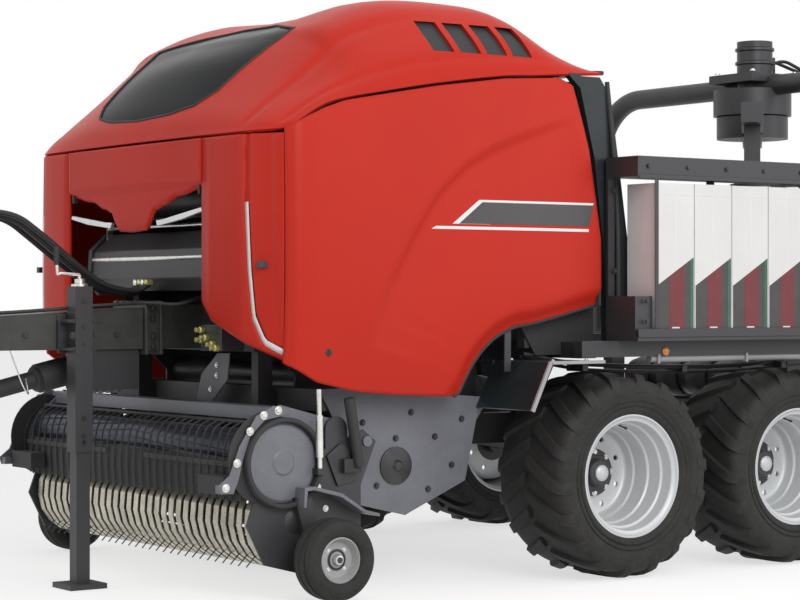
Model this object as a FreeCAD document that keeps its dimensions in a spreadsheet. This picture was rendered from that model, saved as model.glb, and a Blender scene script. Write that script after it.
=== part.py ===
"""Round baler with a wrapping table behind it, on tandem wheels (millimetres).

X points forward, Y to the left and Z up.  The origin lies on the ground, under the middle
of the machine's length, and axle_x places the front axle from it, so every station along
the machine is stated from that axle.
"""
import FreeCAD
import Part
import math
import os

Vector = FreeCAD.Vector
Rotation = FreeCAD.Rotation
doc = FreeCAD.newDocument("RoundBaler")
sheet = doc.addObject("Spreadsheet::Sheet", "Sizes")
nodes = []


class Size:
    """A length that carries its spreadsheet formula together with its number."""

    def __init__(self, text, number):
        self.text = text
        self.number = float(number)

    def join(self, other, sign, swap=False):
        first, second = (other, self) if swap else (self, other)
        a, b = number(first), number(second)
        result = {"+": a + b, "-": a - b, "*": a * b}[sign] if sign != "/" else a / b
        return Size("(%s %s %s)" % (text(first), sign, text(second)), result)

    def __add__(self, other):
        return self.join(other, "+")

    def __radd__(self, other):
        return self.join(other, "+", True)

    def __sub__(self, other):
        return self.join(other, "-")

    def __rsub__(self, other):
        return self.join(other, "-", True)

    def __mul__(self, other):
        return self.join(other, "*")

    def __rmul__(self, other):
        return self.join(other, "*", True)

    def __truediv__(self, other):
        return self.join(other, "/")

    def __neg__(self):
        return self.join(0, "-", True)


def number(value):
    return value.number if isinstance(value, Size) else float(value)


def text(value):
    return value.text if isinstance(value, Size) else repr(round(float(value), 6))


class Sheet:
    """The driving dimensions, read by name."""

    def __init__(self):
        self.row = 0

    def put(self, name, value, note):
        self.row += 1
        sheet.set("A%d" % self.row, note)
        sheet.set("B%d" % self.row, str(value))
        sheet.setAlias("B%d" % self.row, name)
        setattr(self, name, Size("Sizes." + name, value))


S = Sheet()
for name, value, note in (
    ("axle_x", -342.5, "front axle from the origin"),
    ("axle_gap", 1120, "front axle to rear axle"),
    ("track_half", 1230, "middle plane to the middle of a tyre"),
    ("tyre_radius", 500, "tyre over its lugs"),
    ("tyre_width", 500, "tyre over its shoulders"),
    ("tread_width", 430, "flat of the tread"),
    ("lug_height", 22, "lugs above the tread"),
    ("rim_radius", 300, "rim over its flange"),
    ("seat_radius", 284, "bead seat of the rim"),
    ("rim_wall", 10, "rim barrel wall"),
    ("rim_width", 420, "rim over its flanges"),
    ("disc_inset", 300, "wheel disc in from the outer flange"),
    ("disc_wall", 14, "wheel disc thickness"),
    ("hub_radius", 95, "wheel hub outside"),
    ("hub_length", 190, "wheel hub length"),
    ("stub_radius", 45, "stub axle"),
    ("bearing_gap", 1, "stub axle to hub bore"),
    ("bogie_y", 850, "inner face of the bogie beam"),
    ("bogie_wall", 90, "bogie beam thickness"),
    ("bogie_height", 170, "bogie beam depth"),
    ("bogie_pin_z", 610, "bogie pivot above the ground"),
    ("bogie_pin_radius", 45, "bogie pivot pin"),
    ("rail_y", 700, "inner face of a chassis rail"),
    ("rail_wall", 90, "chassis rail width"),
    ("rail_bottom", 640, "chassis rail underside"),
    ("rail_height", 150, "chassis rail depth"),
    ("rail_front", 825, "chassis rail front end from the front axle"),
    ("rail_rear", -3020, "chassis rail rear end from the front axle"),
    ("cross_width", 110, "cross member width"),
    ("outer_rail_y", 1250, "inner face of an outer rail"),
    ("outer_rail_wall", 60, "outer rail width"),
    ("outer_rail_bottom", 1075, "outer rail underside"),
    ("outer_rail_height", 80, "outer rail depth"),
    ("chamber_half", 620, "middle plane to the inside of a chamber wall"),
    ("chamber_wall", 14, "chamber wall plate"),
    ("split_x", 330, "parting of body and tailgate from the front axle"),
    ("split_gap", 12, "gap between body and tailgate"),
    ("gate_pivot_x", 60, "tailgate pivot from the front axle"),
    ("gate_pivot_z", 2390, "tailgate pivot above the ground"),
    ("pivot_radius", 25, "tailgate pivot pin"),
    ("door_y", 1250, "outside of a side door at its fullest"),
    ("door_wall", 22, "side door panel"),
    ("door_front", 2070, "side door front edge from the front axle"),
    ("door_rear", -20, "side door rear edge from the front axle"),
    ("door_bottom", 898, "side door lowest edge"),
    ("door_top", 2440, "side door highest edge"),
    ("hood_wall", 20, "hood panels"),
    ("nose_x", 1950, "front face of the nose panel from the front axle"),
    ("nose_half", 1150, "half width of the nose panel"),
    ("nose_bottom", 1880, "nose panel lower edge at its ends"),
    ("nose_point", 1700, "lowest point of the nose panel's lip"),
    ("nose_top", 2160, "nose panel top edge"),
    ("drawbar_half", 140, "half width of the drawbar"),
    ("sill_x", 1420, "front sill's rear face from the front axle"),
    ("sill_top", 940, "front sill's top"),
    ("drawbar_root", 1640, "drawbar root from the front axle"),
    ("drawbar_bottom", 1120, "drawbar underside"),
    ("drawbar_root_height", 215, "drawbar depth at its root"),
    ("drawbar_tip_height", 150, "drawbar depth ahead of the jack"),
    ("drawbar_bend", 2980, "where the drawbar turns down, from the front axle"),
    ("gear_x", 1990, "gearbox's rear face from the front axle"),
    ("shaft_rear_z", 1020, "drive shaft's rear end above the ground"),
    ("shaft_length", 1240, "drive shaft"),
    ("shaft_slope", 13, "drive shaft's fall towards the tractor, in degrees"),
    ("eye_x", 3780, "drawbar eye from the front axle"),
    ("eye_z", 950, "drawbar eye above the ground"),
    ("eye_bore", 25, "drawbar eye bore radius"),
    ("eye_outside", 55, "drawbar eye outside radius"),
    ("eye_height", 40, "drawbar eye height"),
    ("jack_x", 2350, "jack from the front axle"),
    ("jack_y", 205, "jack from the middle plane"),
    ("jack_tube_half", 45, "half width of the jack's outer tube"),
    ("jack_leg_half", 35, "half width of the jack's leg"),
    ("jack_gap", 1, "leg to outer tube"),
    ("jack_foot_half", 95, "half width of the jack's foot"),
    ("jack_foot_height", 25, "jack foot plate"),
    ("jack_tube_bottom", 640, "jack outer tube's lower end"),
    ("jack_tube_top", 1420, "jack outer tube's upper end"),
    ("jack_leg_top", 1040, "jack leg's upper end"),
    ("pickup_x", 1720, "pickup reel from the front axle"),
    ("pickup_z", 350, "pickup reel above the ground"),
    ("pickup_half", 1100, "half width between the pickup's side plates"),
    ("pickup_wall", 12, "pickup side plate"),
    ("pickup_pivot_x", 1330, "pickup pivot from the front axle"),
    ("pickup_pivot_z", 700, "pickup pivot above the ground"),
    ("pickup_pin", 25, "pickup pivot pin radius"),
    ("arm_pin", 18, "crop roller arm pin radius"),
    ("reel_shaft", 20, "reel shaft radius"),
    ("roll_shaft", 15, "crop roller shaft radius"),
    ("band_radius", 225, "stripper bands' outside"),
    ("band_wall", 6, "stripper band sheet"),
    ("band_width", 44, "stripper band width"),
    ("band_count", 31, "stripper bands"),
    ("band_margin", 100, "pickup's inside width less the span of the band centres"),
    ("beam_back", 325, "stripper bands' beams behind the reel axis"),
    ("tine_radius", 290, "tine tips"),
    ("tine_wire", 3, "tine wire radius"),
    ("reel_tube", 50, "reel tube radius"),
    ("reel_bar_radius", 140, "tine bars from the reel axis"),
    ("reel_bar", 16, "tine bar radius"),
    ("gauge_x", 1630, "gauge wheels from the front axle"),
    ("gauge_gap", 178, "pickup side plate to the middle of a gauge wheel"),
    ("gauge_radius", 188, "gauge wheel"),
    ("gauge_width", 150, "gauge wheel width"),
    ("gauge_rim", 105, "gauge wheel rim radius"),
    ("gauge_axle", 14, "gauge wheel axle radius"),
    ("rotor_x", 1090, "feed rotor from the front axle"),
    ("rotor_z", 570, "feed rotor above the ground"),
    ("rotor_radius", 245, "feed rotor over its fingers"),
    ("rotor_shaft", 35, "feed rotor shaft radius"),
    ("rotor_tube", 85, "feed rotor tube"),
    ("plate_y", 1000, "outside of the grey side plates"),
    ("plate_wall", 12, "grey side plates"),
    ("roll_x", 1900, "crop roller from the front axle"),
    ("roll_z", 690, "crop roller above the ground"),
    ("roll_radius", 75, "crop roller"),
    ("roll_pivot_x", 1500, "crop roller arms' pivot from the front axle"),
    ("roll_pivot_z", 760, "crop roller arms' pivot above the ground"),
    ("arm_wall", 16, "crop roller arm plate"),
    ("rack_front", -32, "film rack front from the front axle"),
    ("rack_lead", 118, "rack front end to the first carton"),
    ("rack_inner", 1215, "film rack's inner face"),
    ("rack_outer", 1455, "film rack's outer face"),
    ("rack_floor", 1185, "film rack tray's top"),
    ("rack_roof", 1960, "underside of the film rack's cover"),
    ("rack_cover", 100, "film rack cover depth"),
    ("carton_pitch", 253, "film carton pitch"),
    ("carton_gap", 6, "gap between cartons"),
    ("carton_count", 5, "film cartons on each side"),
    ("carton_height", 746, "film carton height"),
    ("portal_x", -2200, "wrapper portal from the front axle"),
    ("portal_y", 1390, "portal leg from the middle plane"),
    ("portal_top", 2620, "portal tube's middle line at the top"),
    ("portal_foot", 1115, "portal leg's foot"),
    ("portal_radius", 60, "portal tube radius"),
    ("portal_bend", 380, "portal corner bend"),
    ("head_radius", 230, "wrapping head's slewing ring"),
    ("arm_reach", 1035, "wrapping head axis to film roll axis"),
    ("arm_z", 2330, "wrapping arms' underside"),
    ("film_bottom", 1200, "film roll carrier's lower end"),
    ("film_radius", 110, "film roll"),
    ("film_height", 750, "film roll length"),
    ("park_angle", 46, "where the wrapping arms park, in degrees from straight ahead"),
    ("table_x", -2200, "wrapping table centre from the front axle"),
    ("table_half", 640, "half width of the wrapping table"),
    ("table_pivot_x", -2720, "table pivot from the front axle"),
    ("table_pivot_z", 780, "table pivot above the ground"),
    ("table_roll_gap", 700, "between the table's rollers"),
    ("table_roll_z", 900, "table rollers above the ground"),
    ("table_roll_radius", 100, "table rollers"),
    ("running_gap", 6, "running clearance"),
    ("seat_gap", 0.3, "clearance at a seat"),
):
    S.put(name, value, note)
doc.recompute()


def ax(value):
    """Station along the machine, from the front axle."""
    return S.axle_x + value


def bind(item, prop, value):
    """Ties one property to the sheet, or sets it where it is a plain number."""
    if isinstance(value, Size):
        item.setExpression(prop, value.text)
    else:
        item.setExpression(prop, text(value))


def place(item, base, rotation=None):
    """Puts a piece at a point, each coordinate tied to the sheet."""
    x, y, z = base
    item.Placement = FreeCAD.Placement(Vector(number(x), number(y), number(z)),
                                       rotation or Rotation())
    for axis, value in zip("xyz", base):
        if isinstance(value, Size):
            item.setExpression("Placement.Base." + axis, value.text)
    return item


def box(name, x, y, z):
    """Box between three pairs of planes."""
    item = doc.addObject("Part::Box", name)
    for prop, pair in (("Length", x), ("Width", y), ("Height", z)):
        bind(item, prop, pair[1] - pair[0])
    return place(item, (x[0], y[0], z[0]))


TURNS = {"x": Rotation(Vector(0, 1, 0), 90), "y": Rotation(Vector(1, 0, 0), -90),
         "z": Rotation()}


def rod(name, axis, start, radius, length):
    """Cylinder that starts at a point and runs along +X, +Y or +Z."""
    item = doc.addObject("Part::Cylinder", name)
    bind(item, "Radius", radius)
    bind(item, "Height", length)
    return place(item, start, TURNS[axis])


def prism(name, plane, points, start, depth):
    """Straight-sided plate: an outline in XZ, YZ or XY, carried over a depth from start."""
    body = doc.addObject("PartDesign::Body", name)
    sketch = body.newObject("Sketcher::SketchObject", name + "_sketch")
    origin = [f for f in body.Origin.OriginFeatures if f.Role == plane + "_Plane"][0]
    sketch.AttachmentSupport = [(origin, "")]
    sketch.MapMode = "FlatFace"
    outline(sketch, points)
    pad = body.newObject("PartDesign::Pad", name + "_pad")
    pad.Profile = sketch
    bind(pad, "Length", depth)
    shift = {"XZ": (0, start + depth, 0), "YZ": (start, 0, 0), "XY": (0, 0, start)}[plane]
    return place(body, shift)


def outline(sketch, points):
    """Closed outline whose corners are each held by two driving distances."""
    count = len(points)
    flat = [Vector(number(a), number(b), 0) for a, b in points]
    for i in range(count):
        sketch.addGeometry(Part.LineSegment(flat[i], flat[(i + 1) % count]), False)
    import Sketcher
    for i in range(count):
        sketch.addConstraint(Sketcher.Constraint("Coincident", i, 2, (i + 1) % count, 1))
    for i, pair in enumerate(points):
        for kind, value in zip(("DistanceX", "DistanceY"), pair):
            index = sketch.addConstraint(
                Sketcher.Constraint(kind, -1, 1, i, 1, number(value)))
            if isinstance(value, Size):
                sketch.setExpression("Constraints[%d]" % index, value.text)


def turned(name, points, centre):
    """Turned piece about an axis along Y: an outline of (along the axis, radius)."""
    body = doc.addObject("PartDesign::Body", name)
    sketch = body.newObject("Sketcher::SketchObject", name + "_sketch")
    origin = [f for f in body.Origin.OriginFeatures if f.Role == "YZ_Plane"][0]
    sketch.AttachmentSupport = [(origin, "")]
    sketch.MapMode = "FlatFace"
    outline(sketch, points)
    turn = body.newObject("PartDesign::Revolution", name + "_turn")
    turn.Profile = sketch
    turn.ReferenceAxis = (sketch, ["H_Axis"])
    turn.Angle = 360
    return place(body, centre)


def fuse(name, items):
    if len(items) == 1:
        return items[0]
    item = doc.addObject("Part::MultiFuse", name)
    item.Shapes = items
    return item


def cut(name, base, tool):
    item = doc.addObject("Part::Cut", name)
    item.Base = base
    item.Tool = tool
    return item


def group(name, items):
    """Separate solids kept in one piece's file."""
    item = doc.addObject("Part::Compound", name)
    item.Links = items
    return item


def mirror(name, item):
    """The same piece on the other side of the middle plane."""
    copy = doc.addObject("Part::Mirroring", name)
    copy.Source = item
    copy.Base = Vector(0, 0, 0)
    copy.Normal = Vector(0, 1, 0)
    return copy


def feature(name, shape):
    item = doc.addObject("Part::Feature", name)
    item.Shape = shape
    return item


def node(item, label):
    """Marks a finished sub-part, whose label names its file."""
    item.Label = label
    nodes.append(item)
    return item


def both(name, item):
    """A piece and its mirror image."""
    return [item, mirror(name + "_mirrored", item)]


def mixed(a, b, share):
    """A value part of the way from a to b."""
    return a + (b - a) * share


def v(*xyz):
    return Vector(*[number(value) for value in xyz])


def path(points, bend):
    """Straight runs joined by tangent arcs."""
    edges = []
    last = points[0]
    for i in range(1, len(points) - 1):
        corner = points[i]
        back = (last - corner)
        ahead = (points[i + 1] - corner)
        back = (points[i - 1] - corner).normalize()
        ahead = ahead.normalize()
        half = back.getAngle(ahead) / 2
        reach = bend / math.tan(half)
        first, second = corner + back * reach, corner + ahead * reach
        middle = (back + ahead).normalize()
        top = corner + middle * (bend / math.sin(half) - bend)
        if last.distanceToPoint(first) > 0.01:
            edges.append(Part.LineSegment(last, first).toShape())
        edges.append(Part.Arc(first, top, second).toShape())
        last = second
    edges.append(Part.LineSegment(last, points[-1]).toShape())
    return Part.Wire(edges)


def pipe(points, bend, radius, wall=None):
    """Bent tube along straight runs and tangent arcs."""
    spine = path(points, bend)
    start = spine.Edges[0]
    direction = start.tangentAt(start.FirstParameter)
    ring = Part.Wire([Part.makeCircle(radius, points[0], direction)])
    return spine.makePipeShell([ring], True, True)


def ring_section(x, outer, thickness, smooth=False):
    """Closed wire across the machine: an outer line, the same line moved in, and two ends."""
    pts = [Vector(number(x), number(y), number(z)) for y, z in outer]
    inner = []
    for i, p in enumerate(pts):
        a = pts[max(i - 1, 0)]
        b = pts[min(i + 1, len(pts) - 1)]
        along = (b - a).normalize()
        side = Vector(0, along.z, -along.y)
        inner.append(p + side * number(thickness))
    if not smooth:
        return Part.makePolygon(pts + inner[::-1] + [pts[0]])
    first = Part.BSplineCurve()
    first.interpolate(pts)
    second = Part.BSplineCurve()
    second.interpolate(inner[::-1])
    return Part.Wire([first.toShape(), Part.LineSegment(pts[-1], inner[-1]).toShape(),
                      second.toShape(), Part.LineSegment(inner[0], pts[0]).toShape()])


def corners(x0, x1, z0, z1, shares):
    """Outline corners given as shares of a piece's own length and height."""
    return [(mixed(x0, x1, a), mixed(z0, z1, b)) for a, b in shares]


# ---------------------------------------------------------------- wheels
def main_wheel(tag, x, side):
    """Flotation tyre on a deep-dished disc wheel; side is 1 on the left, -1 on the right."""
    centre = (ax(x), side * S.track_half, S.tyre_radius)
    half, tread = S.tyre_width / 2, S.tread_width / 2
    base = S.tyre_radius - S.lug_height
    tyre = turned("tyre_" + tag, [
        (-tread * 0.92, S.seat_radius), (tread * 0.92, S.seat_radius),
        (tread * 0.96, S.rim_radius + 12), (half, mixed(S.rim_radius, base, 0.45)),
        (half, mixed(S.rim_radius, base, 0.72)), (mixed(tread, half, 0.55), base - 8),
        (tread * 0.6, base + S.lug_height * 0.6), (0, S.tyre_radius),
        (-tread * 0.6, base + S.lug_height * 0.6), (-mixed(tread, half, 0.55), base - 8),
        (-half, mixed(S.rim_radius, base, 0.72)), (-half, mixed(S.rim_radius, base, 0.45)),
        (-tread * 0.96, S.rim_radius + 12)], centre)
    node(tyre, "tyre_" + tag)
    edge = S.rim_width / 2
    disc = edge - S.disc_inset
    seat = S.seat_radius - S.seat_gap
    inner = seat - S.rim_wall
    hub = S.hub_radius
    bore = S.stub_radius + S.bearing_gap
    tail = disc - S.hub_length * 0.75
    cap = disc + S.hub_length * 0.4
    lip = tread * 0.98
    shape = [(-lip, seat), (-lip, S.rim_radius),
             (-lip - 12, S.rim_radius), (-lip - 12, inner),
             (disc - S.disc_wall, inner), (disc - S.disc_wall, hub), (tail, hub),
             (tail, bore), (cap - 30, bore), (cap - 30, 0), (cap, 0), (cap, hub * 0.5),
             (cap - 30, hub * 0.8), (disc, hub * 0.8), (disc, inner),
             (lip + 12, inner), (lip + 12, S.rim_radius),
             (lip, S.rim_radius), (lip, seat)]
    if side < 0:
        shape = [(-a, r) for a, r in shape]
    node(turned("rim_" + tag, shape, centre), "rim_" + tag)


for tag, x, side in (("front_left", 0, 1), ("front_right", 0, -1),
                     ("rear_left", -S.axle_gap, 1), ("rear_right", -S.axle_gap, -1)):
    main_wheel(tag, x, side)

# ---------------------------------------------------------------- running gear
hub_end = (S.track_half + S.rim_width / 2 - S.disc_inset + S.hub_length * 0.4 - 30)
wheel_z = S.tyre_radius
half_beam = S.bogie_height / 2
beam = prism("bogie_beam", "XZ", [
    (ax(90), wheel_z - 60), (ax(90), wheel_z + 60),
    (ax(-S.axle_gap / 2 + 190), S.bogie_pin_z + half_beam),
    (ax(-S.axle_gap / 2 - 190), S.bogie_pin_z + half_beam),
    (ax(-S.axle_gap - 90), wheel_z + 60), (ax(-S.axle_gap - 90), wheel_z - 60),
    (ax(-S.axle_gap / 2 - 150), S.bogie_pin_z - half_beam),
    (ax(-S.axle_gap / 2 + 150), S.bogie_pin_z - half_beam)], S.bogie_y, S.bogie_wall)
stubs = [rod("stub_%d" % i, "y", (ax(x), S.bogie_y + 10, wheel_z), S.stub_radius,
             hub_end - S.bogie_y - 10 - S.bearing_gap) for i, x in enumerate((0, -S.axle_gap))]
pin = rod("bogie_pin", "y", (ax(-S.axle_gap / 2), S.rail_y + S.rail_wall, S.bogie_pin_z),
          S.bogie_pin_radius, S.bogie_y + S.bogie_wall + 25 - S.rail_y - S.rail_wall)
bogie = fuse("bogie", [beam, pin] + stubs)
node(group("bogies_both", both("bogie", bogie)), "bogies")

# ---------------------------------------------------------------- chassis
top_of_rail = S.rail_bottom + S.rail_height
rail = box("rail", (ax(S.rail_rear), ax(S.rail_front)), (S.rail_y, S.rail_y + S.rail_wall),
           (S.rail_bottom, top_of_rail))
bracket = prism("bogie_bracket", "XZ", [
    (ax(-S.axle_gap / 2 - 170), S.rail_bottom + 5), (ax(-S.axle_gap / 2 + 170), S.rail_bottom + 5),
    (ax(-S.axle_gap / 2 + 80), S.bogie_pin_z - 75), (ax(-S.axle_gap / 2 - 80), S.bogie_pin_z - 75)],
    S.rail_y, S.rail_wall)
half_cross = S.cross_width / 2
beams = []
for i, x in enumerate((S.rail_front - half_cross, -S.axle_gap / 2, -1680, S.rail_rear + half_cross)):
    beams.append(box("cross_%d" % i, (ax(x - half_cross), ax(x + half_cross)),
                     (-S.rail_y - 5, S.rail_y + 5), (S.rail_bottom + 20, top_of_rail - 20)))
node(fuse("main_frame_all", both("rail", rail) + both("bracket", bracket) + beams), "main_frame")

outer_top = S.outer_rail_bottom + S.outer_rail_height
outer = box("outer_rail", (ax(-2330), ax(200)),
            (S.outer_rail_y, S.outer_rail_y + S.outer_rail_wall), (S.outer_rail_bottom, outer_top))
struts = []
for i, x in enumerate((120, -1760, S.portal_x)):
    struts.append(box("outrigger_%d" % i, (ax(x - 50), ax(x + 50)),
                      (S.rail_y + S.rail_wall - 40, S.outer_rail_y + 10),
                      (S.outer_rail_bottom - 5, outer_top - 5)))
    struts.append(box("outrigger_post_%d" % i, (ax(x - 50), ax(x + 50)),
                      (S.rail_y + 5, S.rail_y + S.rail_wall - 5),
                      (top_of_rail, outer_top - 5)))
side_frame = fuse("wrapper_side", [outer] + struts)
node(side_frame, "outer_rail_left")
node(mirror("outer_right", side_frame), "outer_rail_right")

# ---------------------------------------------------------------- chamber
wall_in, wall_out = S.chamber_half, S.chamber_half + S.chamber_wall
fixed = [(S.split_x + S.split_gap / 2, 0.0), (S.split_x + S.split_gap / 2, 1.0),
         (mixed(S.split_x, 1700, 0.55), 1.0), (1500, 0.88), (1555, 0.62), (1555, 0.20),
         (S.sill_x, 0.12), (S.sill_x, 0.0)]
low, high = S.rail_bottom + 160, 2420
wall = prism("chamber_wall", "XZ", [(ax(x), mixed(low, high, share)) for x, share in fixed],
             wall_in, S.chamber_wall)
stand = box("wall_foot", (ax(S.split_x + 40), ax(S.rail_front - 10)),
            (wall_out - 2, S.rail_y + 40), (top_of_rail, top_of_rail + 70))
gate_wall = S.chamber_wall * 3
hang_y = wall_in + gate_wall + S.running_gap
hanger = box("gate_hanger", (ax(S.gate_pivot_x - 45), ax(S.split_x + 120)), (hang_y, hang_y + 16),
             (S.gate_pivot_z - 45, S.gate_pivot_z + 25))
hang_block = box("gate_hang_block", (ax(S.split_x + 30), ax(S.split_x + 120)),
                 (wall_out - 1, hang_y + 1), (S.gate_pivot_z - 45, S.gate_pivot_z + 25))
hang_pin = rod("gate_pin", "y", (ax(S.gate_pivot_x), wall_in + 4, S.gate_pivot_z), S.pivot_radius,
               gate_wall + S.running_gap)
side_wall = fuse("chamber_side", [wall, stand, hanger, hang_block, hang_pin])
node(side_wall, "chamber_wall_left")
node(mirror("chamber_side_right", side_wall), "chamber_wall_right")
rolls = []
roll_places = ((1330, 0.12), (1390, 0.34), (1360, 0.60), (1180, 0.86), (860, 0.95), (520, 0.96),
               (700, 0.06))
for i, (x, share) in enumerate(roll_places):
    rolls.append(rod("chamber_roll_%d" % i, "y", (ax(x), -wall_in, mixed(low, high, share)), 62,
                     wall_in * 2))
node(group("chamber_rolls_all", rolls), "chamber_rolls")

# ---------------------------------------------------------------- tailgate
gate_front = S.split_x - S.split_gap / 2
gate_points = [(gate_front, 0.03), (gate_front, 0.86), (170, 0.97), (20, 1.0), (-110, 0.93),
               (-170, 0.72), (-225, 0.50), (-225, 0.22), (-60, 0.07), (120, 0.0)]
gate_low, gate_high = 930, 2435
gate_side = prism("gate_side", "XZ",
                  [(ax(x), mixed(gate_low, gate_high, s)) for x, s in gate_points],
                  wall_in, gate_wall)
gate_bore = rod("gate_bore", "y", (ax(S.gate_pivot_x), wall_in - 10, S.gate_pivot_z),
                S.pivot_radius + S.bearing_gap, gate_wall + 20)
gate_side = cut("gate_side_bored", gate_side, gate_bore)
gate_rear = prism("gate_shell", "XZ",
                  [(ax(x), mixed(gate_low, gate_high, s)) for x, s in (
                      (-110, 0.93), (-170, 0.72), (-225, 0.50), (-225, 0.22), (-60, 0.07),
                      (-45, 0.09), (-205, 0.23), (-205, 0.50), (-150, 0.72), (-92, 0.92))],
                  -wall_in - 5, wall_in * 2 + 10)
node(fuse("tailgate_all", both("gate_side", gate_side) + [gate_rear]), "tailgate")

# ---------------------------------------------------------------- side doors
door_shape = [(1.0, 0.297), (1.0, 0.782), (0.919, 0.818), (0.855, 0.842), (0.592, 0.898),
              (0.37, 0.966),
              (0.136, 1.0), (0.094, 0.979), (0.051, 0.775), (0.017, 0.489), (0.014, 0.281),
              (0.147, 0.240), (0.265, 0.213), (0.352, 0.143), (0.395, 0.052), (0.42, 0.0),
              (0.6, 0.012), (0.708, 0.025), (0.807, 0.054), (0.89, 0.109)]
door_cut = prism("door_outline", "XZ",
                 corners(ax(S.door_rear), ax(S.door_front), S.door_bottom, S.door_top, door_shape),
                 S.door_y - 200, 260)
dw = S.door_wall
door_band = prism("door_band", "YZ", [
    (S.door_y - 55, S.door_bottom - 20), (S.door_y - 5, S.door_bottom + 350),
    (S.door_y, S.door_bottom + 900), (S.door_y - 12, S.door_bottom + 1250),
    (S.door_y - 60, S.door_top + 30), (S.door_y - 60 - dw, S.door_top + 20),
    (S.door_y - 12 - dw, S.door_bottom + 1250), (S.door_y - dw, S.door_bottom + 900),
    (S.door_y - 5 - dw, S.door_bottom + 350), (S.door_y - 55 - dw, S.door_bottom - 20)],
    ax(S.door_rear - 50), S.door_front - S.door_rear + 100)
door = doc.addObject("Part::Common", "door_panel")
door.Base = door_band
door.Tool = door_cut
node(door, "door_left")
node(mirror("door_right_panel", door), "door_right")

# ---------------------------------------------------------------- roof and nose
roof_lines = []
for x, shoulder, top, width in ((1900, 2190, 2330, 1100), (1730, 2230, 2560, 1110),
                                (1418, 2285, 2745, 1120), (993, 2370, 2780, 1130),
                                (750, 2415, 2785, 1130), (374, 2470, 2783, 1130),
                                (178, 2485, 2701, 1120), (-20, 2490, 2530, 1110)):
    rise = top - shoulder
    roof_lines.append(ring_section(ax(x), [
        (1195, shoulder), (width, shoulder + rise * 0.45), (900, shoulder + rise * 0.93),
        (450, top + 30), (0, top + 45), (-450, top + 30), (-900, shoulder + rise * 0.93),
        (-width, shoulder + rise * 0.45), (-1195, shoulder)], -S.hood_wall))
roof = Part.makeLoft(roof_lines, True, True)
node(feature("roof", roof), "roof_hood")

nose = prism("nose_panel", "YZ", [
    (-S.nose_half, S.nose_bottom), (-S.nose_half, S.nose_top), (S.nose_half, S.nose_top),
    (S.nose_half, S.nose_bottom), (420, S.nose_bottom - 20), (60, S.nose_point),
    (-220, S.nose_point), (-560, S.nose_bottom - 20)], ax(S.nose_x - 30), 30)
node(nose, "front_hood")
corner = prism("corner_panel", "XZ", [
    (ax(S.nose_x - 30), S.nose_bottom - 4), (ax(S.nose_x - 90), 1225), (ax(1790), 1070),
    (ax(1700), 1075), (ax(1790), 1280), (ax(1840), S.nose_bottom - 4)], 640, 460)
node(group("corner_panels_all", both("corner_panel", corner)), "corner_panels")

# ---------------------------------------------------------------- front frame
post = box("front_post", (ax(1540), ax(1620)), (S.chamber_half - 60, S.chamber_half),
           (S.sill_top - 10, 2200))
head_beam = box("front_head_beam", (ax(1540), ax(1620)), (-S.chamber_half, S.chamber_half),
                (2150, 2230))
mid_beam = box("front_mid_beam", (ax(S.drawbar_root - 100), ax(S.drawbar_root)),
               (-S.chamber_half, S.chamber_half), (S.drawbar_bottom - 10, S.drawbar_bottom + 210))
low_beam = box("front_low_beam", (ax(S.sill_x), ax(S.sill_x + 100)),
               (-S.plate_y + S.plate_wall, S.plate_y - S.plate_wall), (S.sill_top - 100, S.sill_top))
sill_post = box("sill_post", (ax(S.sill_x + 20), ax(1620)), (S.chamber_half - 60, S.chamber_half),
                (S.sill_top - 90, S.sill_top))
nose_arm = box("nose_arm", (ax(1620), ax(S.nose_x - 30)), (S.chamber_half - 60, S.chamber_half - 20),
               (2090, 2140))
node(fuse("front_frame_all", both("nose_arm", nose_arm) + both("front_post", post) + both("sill_post", sill_post)
          + [head_beam, mid_beam, low_beam]), "front_frame")

# ---------------------------------------------------------------- drawbar
db = S.drawbar_bottom
bar = prism("drawbar_box", "XZ", [
    (ax(S.drawbar_root), db), (ax(S.drawbar_root), db + S.drawbar_root_height),
    (ax(S.drawbar_bend), db + S.drawbar_tip_height), (ax(S.eye_x - 180), S.eye_z + 70),
    (ax(S.eye_x - 180), S.eye_z - 60), (ax(S.drawbar_bend), db)],
    -S.drawbar_half, S.drawbar_half * 2)
tongue = box("tongue", (ax(S.eye_x - 220), ax(S.eye_x)), (-50, 50),
             (S.eye_z - S.eye_height / 2, S.eye_z + S.eye_height / 2))
ring = rod("eye_ring", "z", (ax(S.eye_x), 0, S.eye_z - S.eye_height / 2), S.eye_outside,
           S.eye_height)
hole = rod("eye_hole", "z", (ax(S.eye_x), 0, S.eye_z - S.eye_height), S.eye_bore,
           S.eye_height * 2)
node(cut("drawbar_all", fuse("drawbar_solid", [bar, tongue, ring]), hole), "drawbar")

jt, jl = S.jack_tube_half, S.jack_leg_half
jx, jy = ax(S.jack_x), S.jack_y
outer_tube = box("jack_outer", (jx - jt, jx + jt), (jy - jt, jy + jt),
                 (S.jack_tube_bottom, S.jack_tube_top))
inner_tube = box("jack_inner", (jx - jl - S.jack_gap, jx + jl + S.jack_gap),
                 (jy - jl - S.jack_gap, jy + jl + S.jack_gap),
                 (S.jack_tube_bottom - 10, S.jack_tube_top - 12))
clamp = box("jack_clamp", (jx - 90, jx + 90), (S.drawbar_half + 0.0, jy - jt + 2),
            (S.drawbar_bottom + 10, S.drawbar_bottom + 140))
node(fuse("jack_tube_all", [cut("jack_tube_hollow", outer_tube, inner_tube), clamp]), "jack_tube")
leg = box("jack_leg_bar", (jx - jl, jx + jl), (jy - jl, jy + jl),
          (S.jack_foot_height - 2, S.jack_leg_top))
foot = box("jack_foot", (jx - S.jack_foot_half, jx + S.jack_foot_half),
           (jy - S.jack_foot_half, jy + S.jack_foot_half), (0, S.jack_foot_height))
node(fuse("jack_leg_all", [leg, foot]), "jack_leg")

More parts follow.
